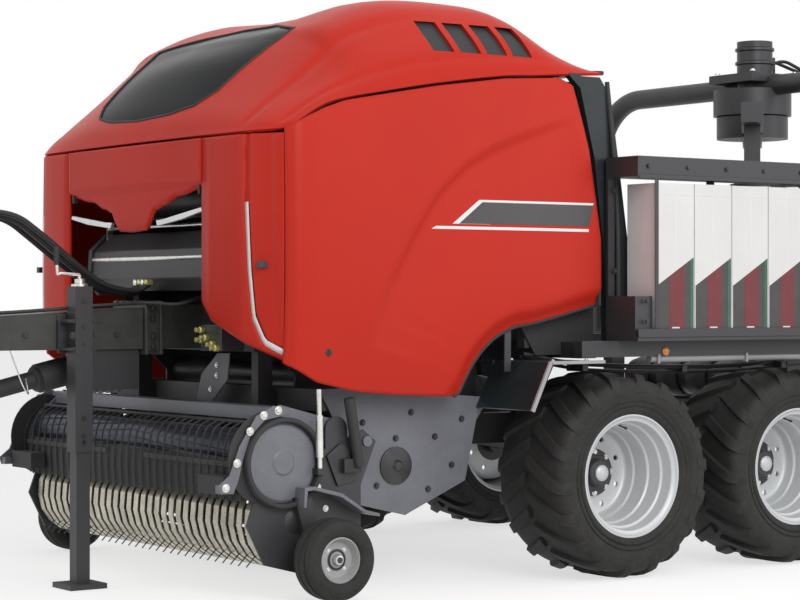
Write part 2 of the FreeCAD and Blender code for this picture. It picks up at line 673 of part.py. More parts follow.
# ---------------------------------------------------------------- side plates, shields
side_plate = prism("side_plate", "XZ", [
    (ax(S.sill_x + 100), S.sill_top), (ax(1378), 945), (ax(525), 881), (ax(611), 772), (ax(678), 482), (ax(1034), 332),
    (ax(1320), 400), (ax(1350), 640)], S.plate_y - S.plate_wall, S.plate_wall)
carrier = box("plate_carrier", (ax(S.rail_front - 130), ax(S.rail_front)), (S.rail_y + S.rail_wall, S.plate_y - S.plate_wall),
              (S.rail_bottom + 20, top_of_rail - 20))
pickup_pin = rod("pickup_pin", "y", (ax(S.pickup_pivot_x), S.plate_y - 5, S.pickup_pivot_z),
                 S.pickup_pin, S.pickup_half + S.pickup_wall + 8 - S.plate_y + 5)
rotor_bore = rod("rotor_bore", "y", (ax(S.rotor_x), S.plate_y - S.plate_wall - 20, S.rotor_z),
                 S.rotor_shaft + S.bearing_gap, 60)
side_plate = fuse("side_plate_pinned", [cut("side_plate_bored", side_plate, rotor_bore),
                                        pickup_pin])
node(group("side_plates_all", both("side_plate", fuse("side_plate_unit", [side_plate, carrier]))),
     "side_plates")
shield = prism("wheel_shield", "XZ", [
    (ax(500), 1060), (ax(170), 1062), (ax(170), 1050), (ax(480), 1048), (ax(600), 830),
    (ax(612), 836)], S.track_half - 230, 440)
shield_arm = box("shield_arm", (ax(470), ax(520)), (wall_out, S.track_half - 220), (1040, 1060))
node(group("wheel_shields_all", both("wheel_shield", fuse("shield_unit", [shield, shield_arm]))),
     "wheel_shields")

# ---------------------------------------------------------------- feed rotor
rotor_shaft_end = S.plate_y + 12
rotor_parts = [rod("rotor_shaft", "y", (ax(S.rotor_x), -rotor_shaft_end, S.rotor_z), S.rotor_shaft,
                   rotor_shaft_end * 2),
               rod("rotor_tube", "y", (ax(S.rotor_x), -(S.plate_y - S.plate_wall - S.running_gap), S.rotor_z),
                   S.rotor_tube, (S.plate_y - S.plate_wall - S.running_gap) * 2)]
for i in range(9):
    y = -560 + i * 140
    star = [(ax(S.rotor_x) + (S.rotor_radius if k % 2 == 0 else S.rotor_tube + 10)
             * math.cos(math.radians(45 * k + i * 20)),
             S.rotor_z + (S.rotor_radius if k % 2 == 0 else S.rotor_tube + 10)
             * math.sin(math.radians(45 * k + i * 20))) for k in range(8)]
    rotor_parts.append(prism("rotor_star_%d" % i, "XZ", star, y - 8, 16))
node(fuse("feed_rotor_all", rotor_parts), "feed_rotor")

# ---------------------------------------------------------------- pickup
px, pz = ax(S.pickup_x), S.pickup_z
cheek = prism("pickup_cheek", "XZ", [
    (px - 60, pz - 250), (px + 170, pz - 190), (px + 262, pz - 10), (px + 190, pz + 190),
    (px, pz + 262), (ax(S.pickup_pivot_x) + 20, S.pickup_pivot_z + 55),
    (ax(S.pickup_pivot_x) - 50, S.pickup_pivot_z), (px - S.beam_back - 30, pz + 150),
    (px - S.beam_back - 30, pz - 150), (px - S.beam_back, pz - 230)], S.pickup_half, S.pickup_wall)
gauge_arm = prism("gauge_arm", "XZ", [
    (ax(S.gauge_x - 30), S.gauge_radius - 30), (ax(S.gauge_x + 30), S.gauge_radius - 30),
    (px + 30, pz + 110), (px - 60, pz + 110)], S.pickup_half + S.pickup_wall - 2, 42)
gauge_y = S.pickup_half + S.pickup_wall + S.gauge_gap
gauge_pin = rod("gauge_pin", "y", (ax(S.gauge_x), S.pickup_half + S.pickup_wall + 10, S.gauge_radius),
                S.gauge_axle, gauge_y + 50 - S.pickup_half - S.pickup_wall - 10)
back_bar = box("pickup_back_bar", (px - S.beam_back - 15, px - S.beam_back + 45),
               (-S.pickup_half - 4, S.pickup_half + 4), (pz + S.band_radius, pz + S.band_radius + 60))
cheek_unit = fuse("cheek_unit", [cheek, gauge_arm, gauge_pin])
pivot_hole = rod("pickup_pivot_hole", "y", (ax(S.pickup_pivot_x), S.pickup_half - 20,
                                            S.pickup_pivot_z), S.pickup_pin + S.bearing_gap, 80)
reel_hole = rod("reel_hole", "y", (px, S.pickup_half - 20, pz), S.reel_shaft + S.bearing_gap, 32)
arm_pin = rod("crop_arm_pin", "y", (ax(S.roll_pivot_x), S.pickup_half - S.running_gap * 2
                                    - S.arm_wall - 8, S.roll_pivot_z), S.arm_pin,
              S.arm_wall + S.running_gap * 2 + 12)
cheek_boss = rod("crop_arm_boss", "y", (ax(S.roll_pivot_x), S.pickup_half, S.roll_pivot_z), 60,
                 S.pickup_wall)
cheek_link = box("crop_arm_link", (ax(S.roll_pivot_x) - 60, ax(S.roll_pivot_x) + 60),
                 (S.pickup_half, S.pickup_half + S.pickup_wall),
                 (pz + 150, S.roll_pivot_z))
cheek_done = fuse("cheek_done", [cut("cheek_cut_b", cut("cheek_cut_a", cheek_unit, pivot_hole),
                                     reel_hole), arm_pin, cheek_boss, cheek_link])
node(fuse("pickup_frame_all", both("cheek", cheek_done) + [back_bar]), "pickup_frame")

def gauge_wheel(tag, side):
    centre = (ax(S.gauge_x), side * gauge_y, S.gauge_radius)
    half = S.gauge_width / 2
    bore = S.gauge_axle + S.bearing_gap
    r = S.gauge_radius
    tyre = turned("gauge_tyre_" + tag, [
        (-half * 0.7, S.gauge_rim), (half * 0.7, S.gauge_rim), (half, mixed(S.gauge_rim, r, 0.5)),
        (half * 0.8, r - 12), (half * 0.4, r), (-half * 0.4, r), (-half * 0.8, r - 12),
        (-half, mixed(S.gauge_rim, r, 0.5))], centre)
    rim = turned("gauge_rim_" + tag, [
        (-half * 0.72, bore), (half * 0.72, bore), (half * 0.72, 34), (half * 0.2, 40),
        (half * 0.2, 90), (half * 0.72, 98), (half * 0.72, S.gauge_rim),
        (-half * 0.72, S.gauge_rim), (-half * 0.72, 98), (-half * 0.1, 90), (-half * 0.1, 40),
        (-half * 0.72, 34)], centre)
    node(fuse("gauge_wheel_all_" + tag, [tyre, rim]), "gauge_wheel_" + tag)


gauge_wheel("left", 1)
gauge_wheel("right", -1)

# ---------------------------------------------------------------- stripper bands and tines
band_count = int(number(S.band_count))
band_pitch = (S.pickup_half * 2 - S.band_margin) / (band_count - 1)


def hoop(name, y):
    """One stripper band, bent round the front of the reel and back to its two beams."""
    turns = range(-85, 96, 20)
    r = S.band_radius - S.band_wall
    outer = [(px - S.beam_back, pz - S.band_radius + 4)]
    outer += [(px + S.band_radius * math.cos(math.radians(a)),
               pz + S.band_radius * math.sin(math.radians(a))) for a in turns]
    outer += [(px - S.beam_back, pz + S.band_radius - 4)]
    inner = [(px - S.beam_back, pz + r - 4)]
    inner += [(px + r * math.cos(math.radians(a)), pz + r * math.sin(math.radians(a)))
              for a in reversed(turns)]
    inner += [(px - S.beam_back, pz - r + 4)]
    return prism(name, "XZ", outer + inner, y, S.band_width)


band_items = [hoop("band_%d" % i, band_pitch * (i - (band_count - 1) / 2) - S.band_width / 2)
              for i in range(band_count)]
beam_x = (px - S.beam_back - 15, px - S.beam_back + 20)
band_beam = box("band_beam", beam_x, (-S.pickup_half, S.pickup_half),
                (pz + S.band_radius - 40, pz + S.band_radius - 4))
band_foot = box("band_foot", beam_x, (-S.pickup_half, S.pickup_half),
                (pz - S.band_radius + 4, pz - S.band_radius + 40))
node(fuse("bands_all", band_items + [band_beam, band_foot]), "pickup_bands")

reel_end = S.pickup_half - S.running_gap
shaft_end = S.pickup_half + S.pickup_wall - 2
reel_items = [rod("reel_tube", "y", (px, -reel_end, pz), S.reel_tube, reel_end * 2),
              rod("reel_shaft", "y", (px, -shaft_end, pz), S.reel_shaft, shaft_end * 2)]
for j in range(4):
    a = math.radians(45 + 90 * j)
    bx, bz = px + S.reel_bar_radius * math.cos(a), pz + S.reel_bar_radius * math.sin(a)
    reel_items.append(rod("reel_bar_%d" % j, "y", (bx, -reel_end, bz), S.reel_bar, reel_end * 2))
    for i in range(band_count - 1):
        wire = doc.addObject("Part::Cylinder", "tine_%d_%d" % (j, i))
        bind(wire, "Radius", S.tine_wire)
        bind(wire, "Height", S.tine_radius - S.reel_bar_radius)
        place(wire, (bx, band_pitch * (i - (band_count - 2) / 2), bz),
              Rotation(Vector(0, 1, 0), 90 - math.degrees(a)))
        reel_items.append(wire)
for i, y in enumerate((-reel_end, -band_pitch * 5, band_pitch * 5 - 8, reel_end - 8)):
    reel_items.append(rod("reel_disc_%d" % i, "y", (px, y, pz), S.reel_bar_radius + 25, 8))
node(fuse("reel_all", reel_items), "pickup_reel")

# ---------------------------------------------------------------- crop roller
arm_y = S.pickup_half - S.running_gap * 2 - S.arm_wall
rx, rz = ax(S.roll_x), S.roll_z
ax2, az2 = ax(S.roll_pivot_x), S.roll_pivot_z
arm = prism("roll_arm", "XZ", [
    (ax2 - 45, az2 - 40), (ax2 + 40, az2 - 50), (rx - 60, rz - 50), (rx + 20, rz - 62),
    (rx + 62, rz - 10), (rx + 40, rz + 60), (ax(1790), rz + 190), (ax2 + 60, az2 + 60),
    (ax2 - 30, az2 + 45)], arm_y, S.arm_wall)
arm_hole = rod("roll_arm_hole", "y", (ax2, arm_y - 10, az2), S.arm_pin + S.bearing_gap,
               S.arm_wall + 20)
roll_hole = rod("roll_shaft_hole", "y", (rx, arm_y - 10, rz), S.roll_shaft + S.bearing_gap,
                S.arm_wall + 20)
arm_cut = cut("roll_arm_cut2", cut("roll_arm_cut", arm, arm_hole), roll_hole)
arm_beam = box("roll_arm_beam", (ax(1740), ax(1840)), (-arm_y - 2, arm_y + 2),
               (rz + 120, rz + 180))
node(fuse("crop_arms_all", both("arm_cut", arm_cut) + [arm_beam]), "crop_roller_arms")
roll_end = arm_y - S.running_gap
node(fuse("crop_roller_all", [
    rod("crop_tube", "y", (rx, -roll_end, rz), S.roll_radius, roll_end * 2),
    rod("crop_shaft", "y", (rx, -arm_y - S.arm_wall + 2, rz), S.roll_shaft, (arm_y + S.arm_wall - 2) * 2)]),
    "crop_roller")

# ---------------------------------------------------------------- racks
cover_top = S.rack_roof + S.rack_cover
rack_back = S.rack_front - S.rack_lead - S.carton_pitch * S.carton_count - 40
tray = box("rack_tray", (ax(rack_back), ax(S.rack_front)), (S.rack_inner, S.rack_outer),
           (outer_top, S.rack_floor))
lid = box("rack_cover", (ax(rack_back), ax(S.rack_front)), (S.rack_inner, S.rack_outer),
          (S.rack_roof, cover_top))
back_posts = [box("rack_post_%d" % i, (ax(x), ax(x + 40)), (S.rack_inner, S.rack_inner + 18),
                  (S.rack_floor - 5, S.rack_roof + 5))
              for i, x in enumerate((rack_back, (rack_back + S.rack_front) / 2,
                                     S.rack_front - 40))]
front_box = box("rack_front_box", (ax(S.rack_front - 110), ax(S.rack_front)),
                (S.rack_inner, S.rack_outer - 20), (S.rack_floor - 5, S.rack_floor + 190))
rack = fuse("rack_side", [tray, lid, front_box] + back_posts)
node(rack, "film_rack_left")
node(mirror("rack_right", rack), "film_rack_right")
cartons = []
for i in range(int(number(S.carton_count))):
    back = S.rack_front - S.rack_lead - S.carton_pitch * (i + 1)
    cartons.append(box("carton_%d" % i, (ax(back), ax(back + S.carton_pitch - S.carton_gap)),
                       (S.rack_inner + 18 + S.seat_gap, S.rack_outer - 4),
                       (S.rack_floor + S.seat_gap, S.rack_floor + S.carton_height)))
carton_row = group("carton_row", cartons)
node(carton_row, "film_cartons_left")
node(mirror("carton_row_right", carton_row), "film_cartons_right")

# ---------------------------------------------------------------- rear pillars
pillar = prism("pillar", "XZ", [(ax(x), z) for x, z in (
    (180, 2460), (-14, 2460), (-85, 2366), (-150, 1955), (-203, 1606), (-203, 1085),
    (-60, 1085), (-40, 1606), (20, 2060), (110, 2400))], 1150, 40)
pillar_foot = box("pillar_foot", (ax(-203), ax(-60)), (1150, S.outer_rail_y),
                  (S.outer_rail_bottom + 5, S.outer_rail_bottom + S.outer_rail_height - 5))
pillar_head = box("pillar_head", (ax(110), ax(180)), (-1190, 1190), (2458, 2472))
node(fuse("pillars_all", both("pillar", fuse("pillar_unit", [pillar, pillar_foot]))
          + [pillar_head]), "rear_pillars")

# ---------------------------------------------------------------- wrapper portal
portal_x = ax(S.portal_x)
arch = pipe([v(portal_x, -S.portal_y, S.portal_foot), v(portal_x, -S.portal_y, S.portal_top),
             v(portal_x, S.portal_y, S.portal_top), v(portal_x, S.portal_y, S.portal_foot)],
            number(S.portal_bend), number(S.portal_radius))
arch_item = feature("portal_arch", arch)
foot_plate = box("portal_foot", (portal_x - 110, portal_x + 110),
                 (S.outer_rail_y + S.outer_rail_wall, S.portal_y + 80),
                 (S.portal_foot - 20, S.portal_foot + 5))
node(fuse("portal_all", [arch_item] + both("foot", foot_plate)), "wrapper_portal")
head_top = S.portal_top - S.portal_radius
head_low = S.arm_z + 110 + S.running_gap
head_solid = fuse("head_solid", [
    rod("head_ring", "z", (portal_x, 0, head_low), S.head_radius, head_top - head_low + 40),
    rod("head_motor", "z", (portal_x - 20, 0, head_top + 30), 105, 300),
    rod("head_spindle", "z", (portal_x, 0, S.arm_z + 20), 60, head_low - S.arm_z - 10),
    box("head_plate", (portal_x - 260, portal_x + 180), (-180, 180),
        (S.portal_top + 20, S.portal_top + 70))])
saddle = rod("head_saddle", "y", (portal_x, -400, S.portal_top), S.portal_radius + S.seat_gap,
             800)
node(cut("head_all", head_solid, saddle), "wrapping_head")

arm_top = S.arm_z + 110
beam_x = box("wrap_arm", (-S.arm_reach - 60, S.arm_reach + 60), (-60, 60), (S.arm_z, arm_top))
hub = rod("wrap_hub", "z", (0, 0, S.arm_z - 20), S.head_radius - 20, 130)
carriers = []
for i, side in enumerate((1, -1)):
    leg_x = S.arm_reach - S.film_radius - 70
    carriers.append(box("film_leg_%d" % i, (leg_x * side - 40, leg_x * side + 40), (-45, 45),
                        (S.film_bottom, S.arm_z + 5)))
    for k, z in enumerate((S.film_bottom, S.film_bottom + 30 + S.film_height)):
        carriers.append(box("film_shelf_%d_%d" % (i, k),
                            (S.arm_reach * side - 130 - 40 * side, S.arm_reach * side + 100
                             - 40 * side), (-100, 100), (z, z + 28)))
hub_bore = rod("wrap_hub_bore", "z", (0, 0, S.arm_z + 14), 60 + S.bearing_gap, 200)
wrap = cut("wrap_rotor_all", fuse("wrap_rotor_solid", [beam_x, hub] + carriers), hub_bore)
place(wrap, (portal_x, 0, 0), Rotation(Vector(0, 0, 1), number(S.park_angle)))
wrap.setExpression("Placement.Rotation.Angle", S.park_angle.text)
node(wrap, "wrap_rotor")
film = group("film_rolls_all", [
    rod("film_roll_%d" % i, "z", (S.arm_reach * side, 0, S.film_bottom + 28.5), S.film_radius,
        S.film_height) for i, side in enumerate((1, -1))])
place(film, (portal_x, 0, 0), Rotation(Vector(0, 0, 1), number(S.park_angle)))
film.setExpression("Placement.Rotation.Angle", S.park_angle.text)
node(film, "film_rolls")

# ---------------------------------------------------------------- wrapping table
tx, tz = ax(S.table_x), S.table_roll_z
qx, qz = ax(S.table_pivot_x), S.table_pivot_z
half_gap = S.table_roll_gap / 2
cheek_t = prism("table_cheek", "XZ", [
    (qx - 50, qz - 45), (qx + 50, qz - 50), (tx + half_gap, tz - 130), (tx + half_gap + 70, tz - 60),
    (tx + half_gap + 70, tz + 45), (tx + half_gap, tz + 60), (tx, tz - 40), (tx - half_gap, tz + 60),
    (qx - 20, tz + 20)], S.table_half, 16)
holes = [rod("table_hole_%d" % i, "y", (x, S.table_half - 10, z), r + S.bearing_gap, 40)
         for i, (x, z, r) in enumerate(((tx - half_gap, tz, 20), (tx + half_gap, tz, 20),
                                        (qx, qz, 22)))]
cheek_cut = cheek_t
for i, hole_item in enumerate(holes):
    cheek_cut = cut("table_cut_%d" % i, cheek_cut, hole_item)
table_cross = box("table_cross", (tx - 60, tx + 60), (-S.table_half - 2, S.table_half + 2),
                  (tz - 150, tz - 60))
table_cross.Label = "table_cross"
node(fuse("table_all", both("cheek_cut", cheek_cut) + [table_cross]), "wrap_table")
for tag, x in (("front", tx + half_gap), ("rear", tx - half_gap)):
    end = S.table_half - S.running_gap
    node(fuse("table_roll_" + tag, [
        rod("table_tube_" + tag, "y", (x, -end, tz), S.table_roll_radius, end * 2),
        rod("table_shaft_" + tag, "y", (x, -S.table_half - 14, tz), 20,
            (S.table_half + 14) * 2)]), "table_roller_" + tag)
stand_t = prism("table_stand", "XZ", [
    (ax(S.rail_rear) + 5, top_of_rail - 10), (ax(S.rail_rear) + 350, top_of_rail - 10),
    (qx + 45, qz + 45), (qx - 45, qz + 45)], S.table_half + 16 + S.running_gap,
    S.rail_y - S.table_half - 16 - S.running_gap)
pin_t = rod("table_pin", "y", (qx, S.table_half - 2, qz), 22, 16 + S.running_gap + 14)
node(group("table_stands_all", both("table_stand", fuse("stand_unit", [stand_t, pin_t]))),
     "table_stands")

# ---------------------------------------------------------------- rear lamps
lamp_x = ax(S.rail_rear - 90)
bumper = box("lamp_beam", (lamp_x, lamp_x + 60), (-1180, 1180), (S.rail_bottom, S.rail_bottom + 140))
bumper_arm = box("lamp_arm", (lamp_x + 55, ax(S.rail_rear)), (S.rail_y + 10, S.rail_y + 80),
                 (S.rail_bottom + 20, S.rail_bottom + 120))
node(fuse("lamp_bar_all", [bumper] + both("lamp_arm", bumper_arm)), "lamp_bar")
lamp = box("lamp", (lamp_x - 40, lamp_x - 0.3), (940, 1160), (S.rail_bottom + 20,
                                                            S.rail_bottom + 120))
node(group("lamps_all", both("lamp", lamp)), "rear_lamps")

# ---------------------------------------------------------------- visor, gearbox, drive shaft
visor = Part.makeLoft([ring_section(ax(x), [(y, z) for y, z in line], -14) for x, line in (
    (1905, ((1120, 2178), (600, 2205), (0, 2215), (-600, 2205), (-1120, 2178))),
    (1600, ((1060, 2420), (600, 2560), (0, 2620), (-600, 2560), (-1060, 2420))))], True, True)
node(feature("visor", visor), "hood_visor")
gear = box("gearbox_block", (ax(S.gear_x), ax(S.gear_x + 270)), (-120, 120),
           (S.drawbar_bottom - 195, S.drawbar_bottom))
gear_nose = rod("gearbox_nose", "x", (ax(S.gear_x + 260), 0, S.shaft_rear_z), 42, 50)
node(fuse("gearbox_all", [gear, gear_nose]), "gearbox")
shaft_x = ax(S.gear_x + 315.5)
shaft_turn = Rotation(Vector(0, 1, 0), 90 + number(S.shaft_slope))


def along_shaft(name, start, radius, length):
    """Round piece of the drive shaft, that far along it from the gearbox."""
    item = doc.addObject("Part::Cylinder", name)
    bind(item, "Radius", radius)
    bind(item, "Height", length)
    turn = math.radians(number(S.shaft_slope))
    place(item, (shaft_x + start * math.cos(turn), 0, S.shaft_rear_z - start * math.sin(turn)),
          shaft_turn)
    return item


node(fuse("drive_shaft_all", [
    along_shaft("shaft_core", 0, 24, S.shaft_length),
    along_shaft("shaft_cone_rear", 40, 70, 130),
    along_shaft("shaft_guard_rear", 160, 42, S.shaft_length * 0.5),
    along_shaft("shaft_guard_front", 150 + S.shaft_length * 0.45, 36, S.shaft_length * 0.42),
    along_shaft("shaft_cone_front", S.shaft_length - 150, 66, 110)]), "drive_shaft")

# ---------------------------------------------------------------- report
doc.recompute()
failed = []
for item in doc.Objects:
    if any(flag in ("Invalid", "Error") for flag in item.State):
        failed.append("%s %s" % (item.Name, item.State))
for item in nodes:
    if item.Shape.isNull() or not item.Shape.isValid() or not item.Shape.Solids:
        failed.append("%s has no valid solid" % item.Label)
if failed:
    raise RuntimeError("; ".join(failed))
os.makedirs("parts", exist_ok=True)
whole = None
for item in nodes:
    item.Shape.exportStep("parts/%s.step" % item.Label)
    box_now = item.Shape.BoundBox
    whole = box_now if whole is None else whole.united(box_now)
print("nodes", len(nodes), "x %.1f %.1f y %.1f %.1f z %.1f %.1f" % (
    whole.XMin, whole.XMax, whole.YMin, whole.YMax, whole.ZMin, whole.ZMax))
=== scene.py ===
"""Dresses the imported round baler: hood skins, wheels, pickup, wrapper fittings and studio."""
import math

import bmesh
import bpy
from bpy.props import FloatProperty, FloatVectorProperty, IntProperty, PointerProperty
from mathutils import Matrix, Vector


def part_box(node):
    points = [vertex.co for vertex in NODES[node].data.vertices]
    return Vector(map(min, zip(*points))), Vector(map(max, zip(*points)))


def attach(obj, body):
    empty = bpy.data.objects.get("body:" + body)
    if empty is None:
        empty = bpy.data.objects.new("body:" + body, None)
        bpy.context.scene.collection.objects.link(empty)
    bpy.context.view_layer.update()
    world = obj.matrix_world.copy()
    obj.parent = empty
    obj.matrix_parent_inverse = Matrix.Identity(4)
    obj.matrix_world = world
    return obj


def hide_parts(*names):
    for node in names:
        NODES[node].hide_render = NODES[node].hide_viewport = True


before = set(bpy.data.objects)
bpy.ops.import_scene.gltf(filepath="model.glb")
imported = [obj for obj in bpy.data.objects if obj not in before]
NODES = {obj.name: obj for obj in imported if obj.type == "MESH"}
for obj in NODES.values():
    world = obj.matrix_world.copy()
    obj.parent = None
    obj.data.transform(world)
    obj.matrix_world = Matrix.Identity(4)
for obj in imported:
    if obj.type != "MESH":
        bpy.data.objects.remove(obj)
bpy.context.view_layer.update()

bl_info = {
    "name": "Round Baler Looks",
    "version": (1, 1, 0),
    "blender": (4, 5, 0),
    "location": "View3D > Sidebar > Baler",
    "description": "Hood, wheels, finishes and small fittings for a round baler with a bale wrapper",
    "category": "Object",
}


def middle_of(node):
    """Middle of a node's box at rest, in metres."""
    low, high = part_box(node)
    return (low + high) / 2


AXLE, TRACK, WHEEL_Z = middle_of("tyre_front_left")
AXLE_STEP = AXLE - middle_of("tyre_rear_left").x
SIDES = (("left", 1), ("right", -1))
ORIGIN = Vector()
X_AXIS, Y_AXIS, Z_AXIS = Vector((1, 0, 0)), Vector((0, 1, 0)), Vector((0, 0, 1))


def ax(value):
    """Station along the machine in metres, from the front axle in millimetres."""
    return AXLE + value / 1000


def mm(x, y, z):
    """Place in metres from millimetres: x from the front axle, y to the left, z up."""
    return Vector((ax(x), y / 1000, z / 1000))


# ------------------------------------------------------------------ node graphs
def new_graph(name):
    """Empty material and its node tree."""
    material = bpy.data.materials.new(name)
    material.use_nodes = True
    tree = material.node_tree
    tree.nodes.clear()
    return material, tree


def add(tree, kind, **inputs):
    """One shader node with its sockets set by name."""
    node = tree.nodes.new("ShaderNode" + kind)
    for key, value in inputs.items():
        node.inputs[key.replace("_", " ")].default_value = value
    return node


def noise(tree, coords, scale, detail=4.0, stretch=None):
    """Noise in the piece's own space, drawn out where stretch says."""
    texture = add(tree, "TexNoise", Scale=scale, Detail=detail)
    source = coords.outputs["Object"]
    if stretch:
        mapping = add(tree, "Mapping")
        mapping.inputs["Scale"].default_value = stretch
        tree.links.new(source, mapping.inputs["Vector"])
        source = mapping.outputs["Vector"]
    tree.links.new(source, texture.inputs["Vector"])
    return texture


def ramp(tree, source, stops):
    """Colour ramp: stops of (place, colour)."""
    node = tree.nodes.new("ShaderNodeValToRGB")
    elements = node.color_ramp.elements
    while len(elements) < len(stops):
        elements.new(0.5)
    for element, (place, colour) in zip(elements, stops):
        element.position = place
        element.color = (*colour, 1)
    tree.links.new(source, node.inputs["Fac"])
    return node


def remap(tree, source, low, high):
    """Maps 0..1 to a span."""
    node = add(tree, "MapRange")
    node.inputs["To Min"].default_value = low
    node.inputs["To Max"].default_value = high
    tree.links.new(source, node.inputs["Value"])
    return node


def veiled(tree, shade, coords, scale, dust):
    """Lays thin dust of one colour over a shade in patches."""
    amount, dust_colour = dust
    specks = noise(tree, coords, scale, 8.0)
    veil = ramp(tree, specks.outputs["Fac"], [(0.42, (0, 0, 0)), (0.72, (amount,) * 3)])
    mixer = tree.nodes.new("ShaderNodeMix")
    mixer.data_type = "RGBA"
    first, second = [socket for socket in mixer.inputs if socket.type == "RGBA"]
    tree.links.new(shade, first)
    second.default_value = (*dust_colour, 1)
    tree.links.new(veil.outputs["Color"], mixer.inputs["Factor"])
    return [socket for socket in mixer.outputs if socket.type == "RGBA"][0]


def finish_material(name, colour, rough=0.4, spread=0.06, metallic=0.0, coat=0.0, coat_rough=0.1,
                    vary=0.12, scale=3.0, bump=0.05, bump_scale=350.0, stretch=None, dust=None,
                    specular=0.5):
    """Paint, metal, plastic or rubber with uneven colour, uneven gloss and a fine surface."""
    material, tree = new_graph(name)
    coords = add(tree, "TexCoord")
    patches = noise(tree, coords, scale, 5.0)
    dark = tuple(c * (1 - vary) for c in colour)
    light = tuple(min(1.0, c * (1 + vary)) for c in colour)
    shade = ramp(tree, patches.outputs["Fac"], [(0.3, dark), (0.7, light)]).outputs["Color"]
    if dust:
        shade = veiled(tree, shade, coords, scale * 7, dust)
    shader = add(tree, "BsdfPrincipled")
    shader.inputs["Metallic"].default_value = metallic
    shader.inputs["Coat Weight"].default_value = coat
    shader.inputs["Coat Roughness"].default_value = coat_rough
    shader.inputs["Specular IOR Level"].default_value = specular
    tree.links.new(shade, shader.inputs["Base Color"])
    gloss = noise(tree, coords, scale * 4, 3.0, stretch)
    rough_map = remap(tree, gloss.outputs["Fac"], max(0.02, rough - spread), rough + spread)
    tree.links.new(rough_map.outputs["Result"], shader.inputs["Roughness"])
    grain = noise(tree, coords, bump_scale, 2.0, stretch)
    bumper = add(tree, "Bump", Strength=bump, Distance=0.002)
    tree.links.new(grain.outputs["Fac"], bumper.inputs["Height"])
    tree.links.new(bumper.outputs["Normal"], shader.inputs["Normal"])
    output = add(tree, "OutputMaterial")
    tree.links.new(shader.outputs["BSDF"], output.inputs["Surface"])
    return material


# ------------------------------------------------------------------ settings
class BalerPaint(bpy.types.PropertyGroup):
    """Colours of the machine."""
    red: FloatVectorProperty(name="Panel red", description="Hood and door paint",
                             subtype="COLOR", size=3, min=0, max=1, default=(0.58, 0.030, 0.017))
    grey: FloatVectorProperty(name="Plate grey", description="Side plates and arms",
                              subtype="COLOR", size=3, min=0, max=1, default=(0.17, 0.175, 0.20))
    silver: FloatVectorProperty(name="Rim silver", description="Wheel discs and barrels",
                                subtype="COLOR", size=3, min=0, max=1, default=(0.66, 0.66, 0.67))
    black: FloatVectorProperty(name="Frame black", description="Chassis and wrapper paint",
                               subtype="COLOR", size=3, min=0, max=1,
                               default=(0.010, 0.0105, 0.012))


class BalerSizes(bpy.types.PropertyGroup):
    """Sizes of the fittings."""
    lugs: IntProperty(name="Lugs", description="Lugs on each shoulder of a tyre",
                      default=18, min=8, max=30)
    lug: FloatProperty(name="Lug width", description="Lug across its top", unit="LENGTH",
                       default=0.052, min=0.02, max=0.09)
    nuts: IntProperty(name="Wheel nuts", description="Nuts on each wheel", default=8, min=4,
                      max=12)
    hand_holes: IntProperty(name="Hand holes", description="Holes in each wheel disc",
                            default=8, min=0, max=12)
    louvres: IntProperty(name="Louvres", description="Slots on each shoulder of the roof",
                         default=4, min=0, max=4)
    hose: FloatProperty(name="Hose radius", description="Hydraulic hoses", unit="LENGTH",
                        default=0.013, min=0.005, max=0.03)
    ribs: IntProperty(name="Roller ribs", description="Ribs round the crop roller", default=12,
                      min=0, max=24)


class BalerStage(bpy.types.PropertyGroup):
    """Studio and camera."""
    lens: FloatProperty(name="Focal length", description="Camera focal length in millimetres",
                        default=101.4, min=20, max=300)
    height: FloatProperty(name="Camera height", description="Camera above the floor",
                          default=1.356, unit="LENGTH")
    forward: FloatProperty(name="Camera forward", description="Camera ahead of the front axle",
                           default=7.221, unit="LENGTH")
    aside: FloatProperty(name="Camera aside", description="Camera left of the middle plane",
                         default=9.765, unit="LENGTH")
    heading: FloatProperty(name="Camera heading", description="Turn about the upright axis",
                           default=math.radians(144.912), subtype="ANGLE")
    light: FloatProperty(name="Light", description="Strength of the studio's soft light",
                         default=0.36, min=0, max=1)


def sizes():
    """The sizes that the panel sets."""
    return bpy.context.scene.baler_sizes


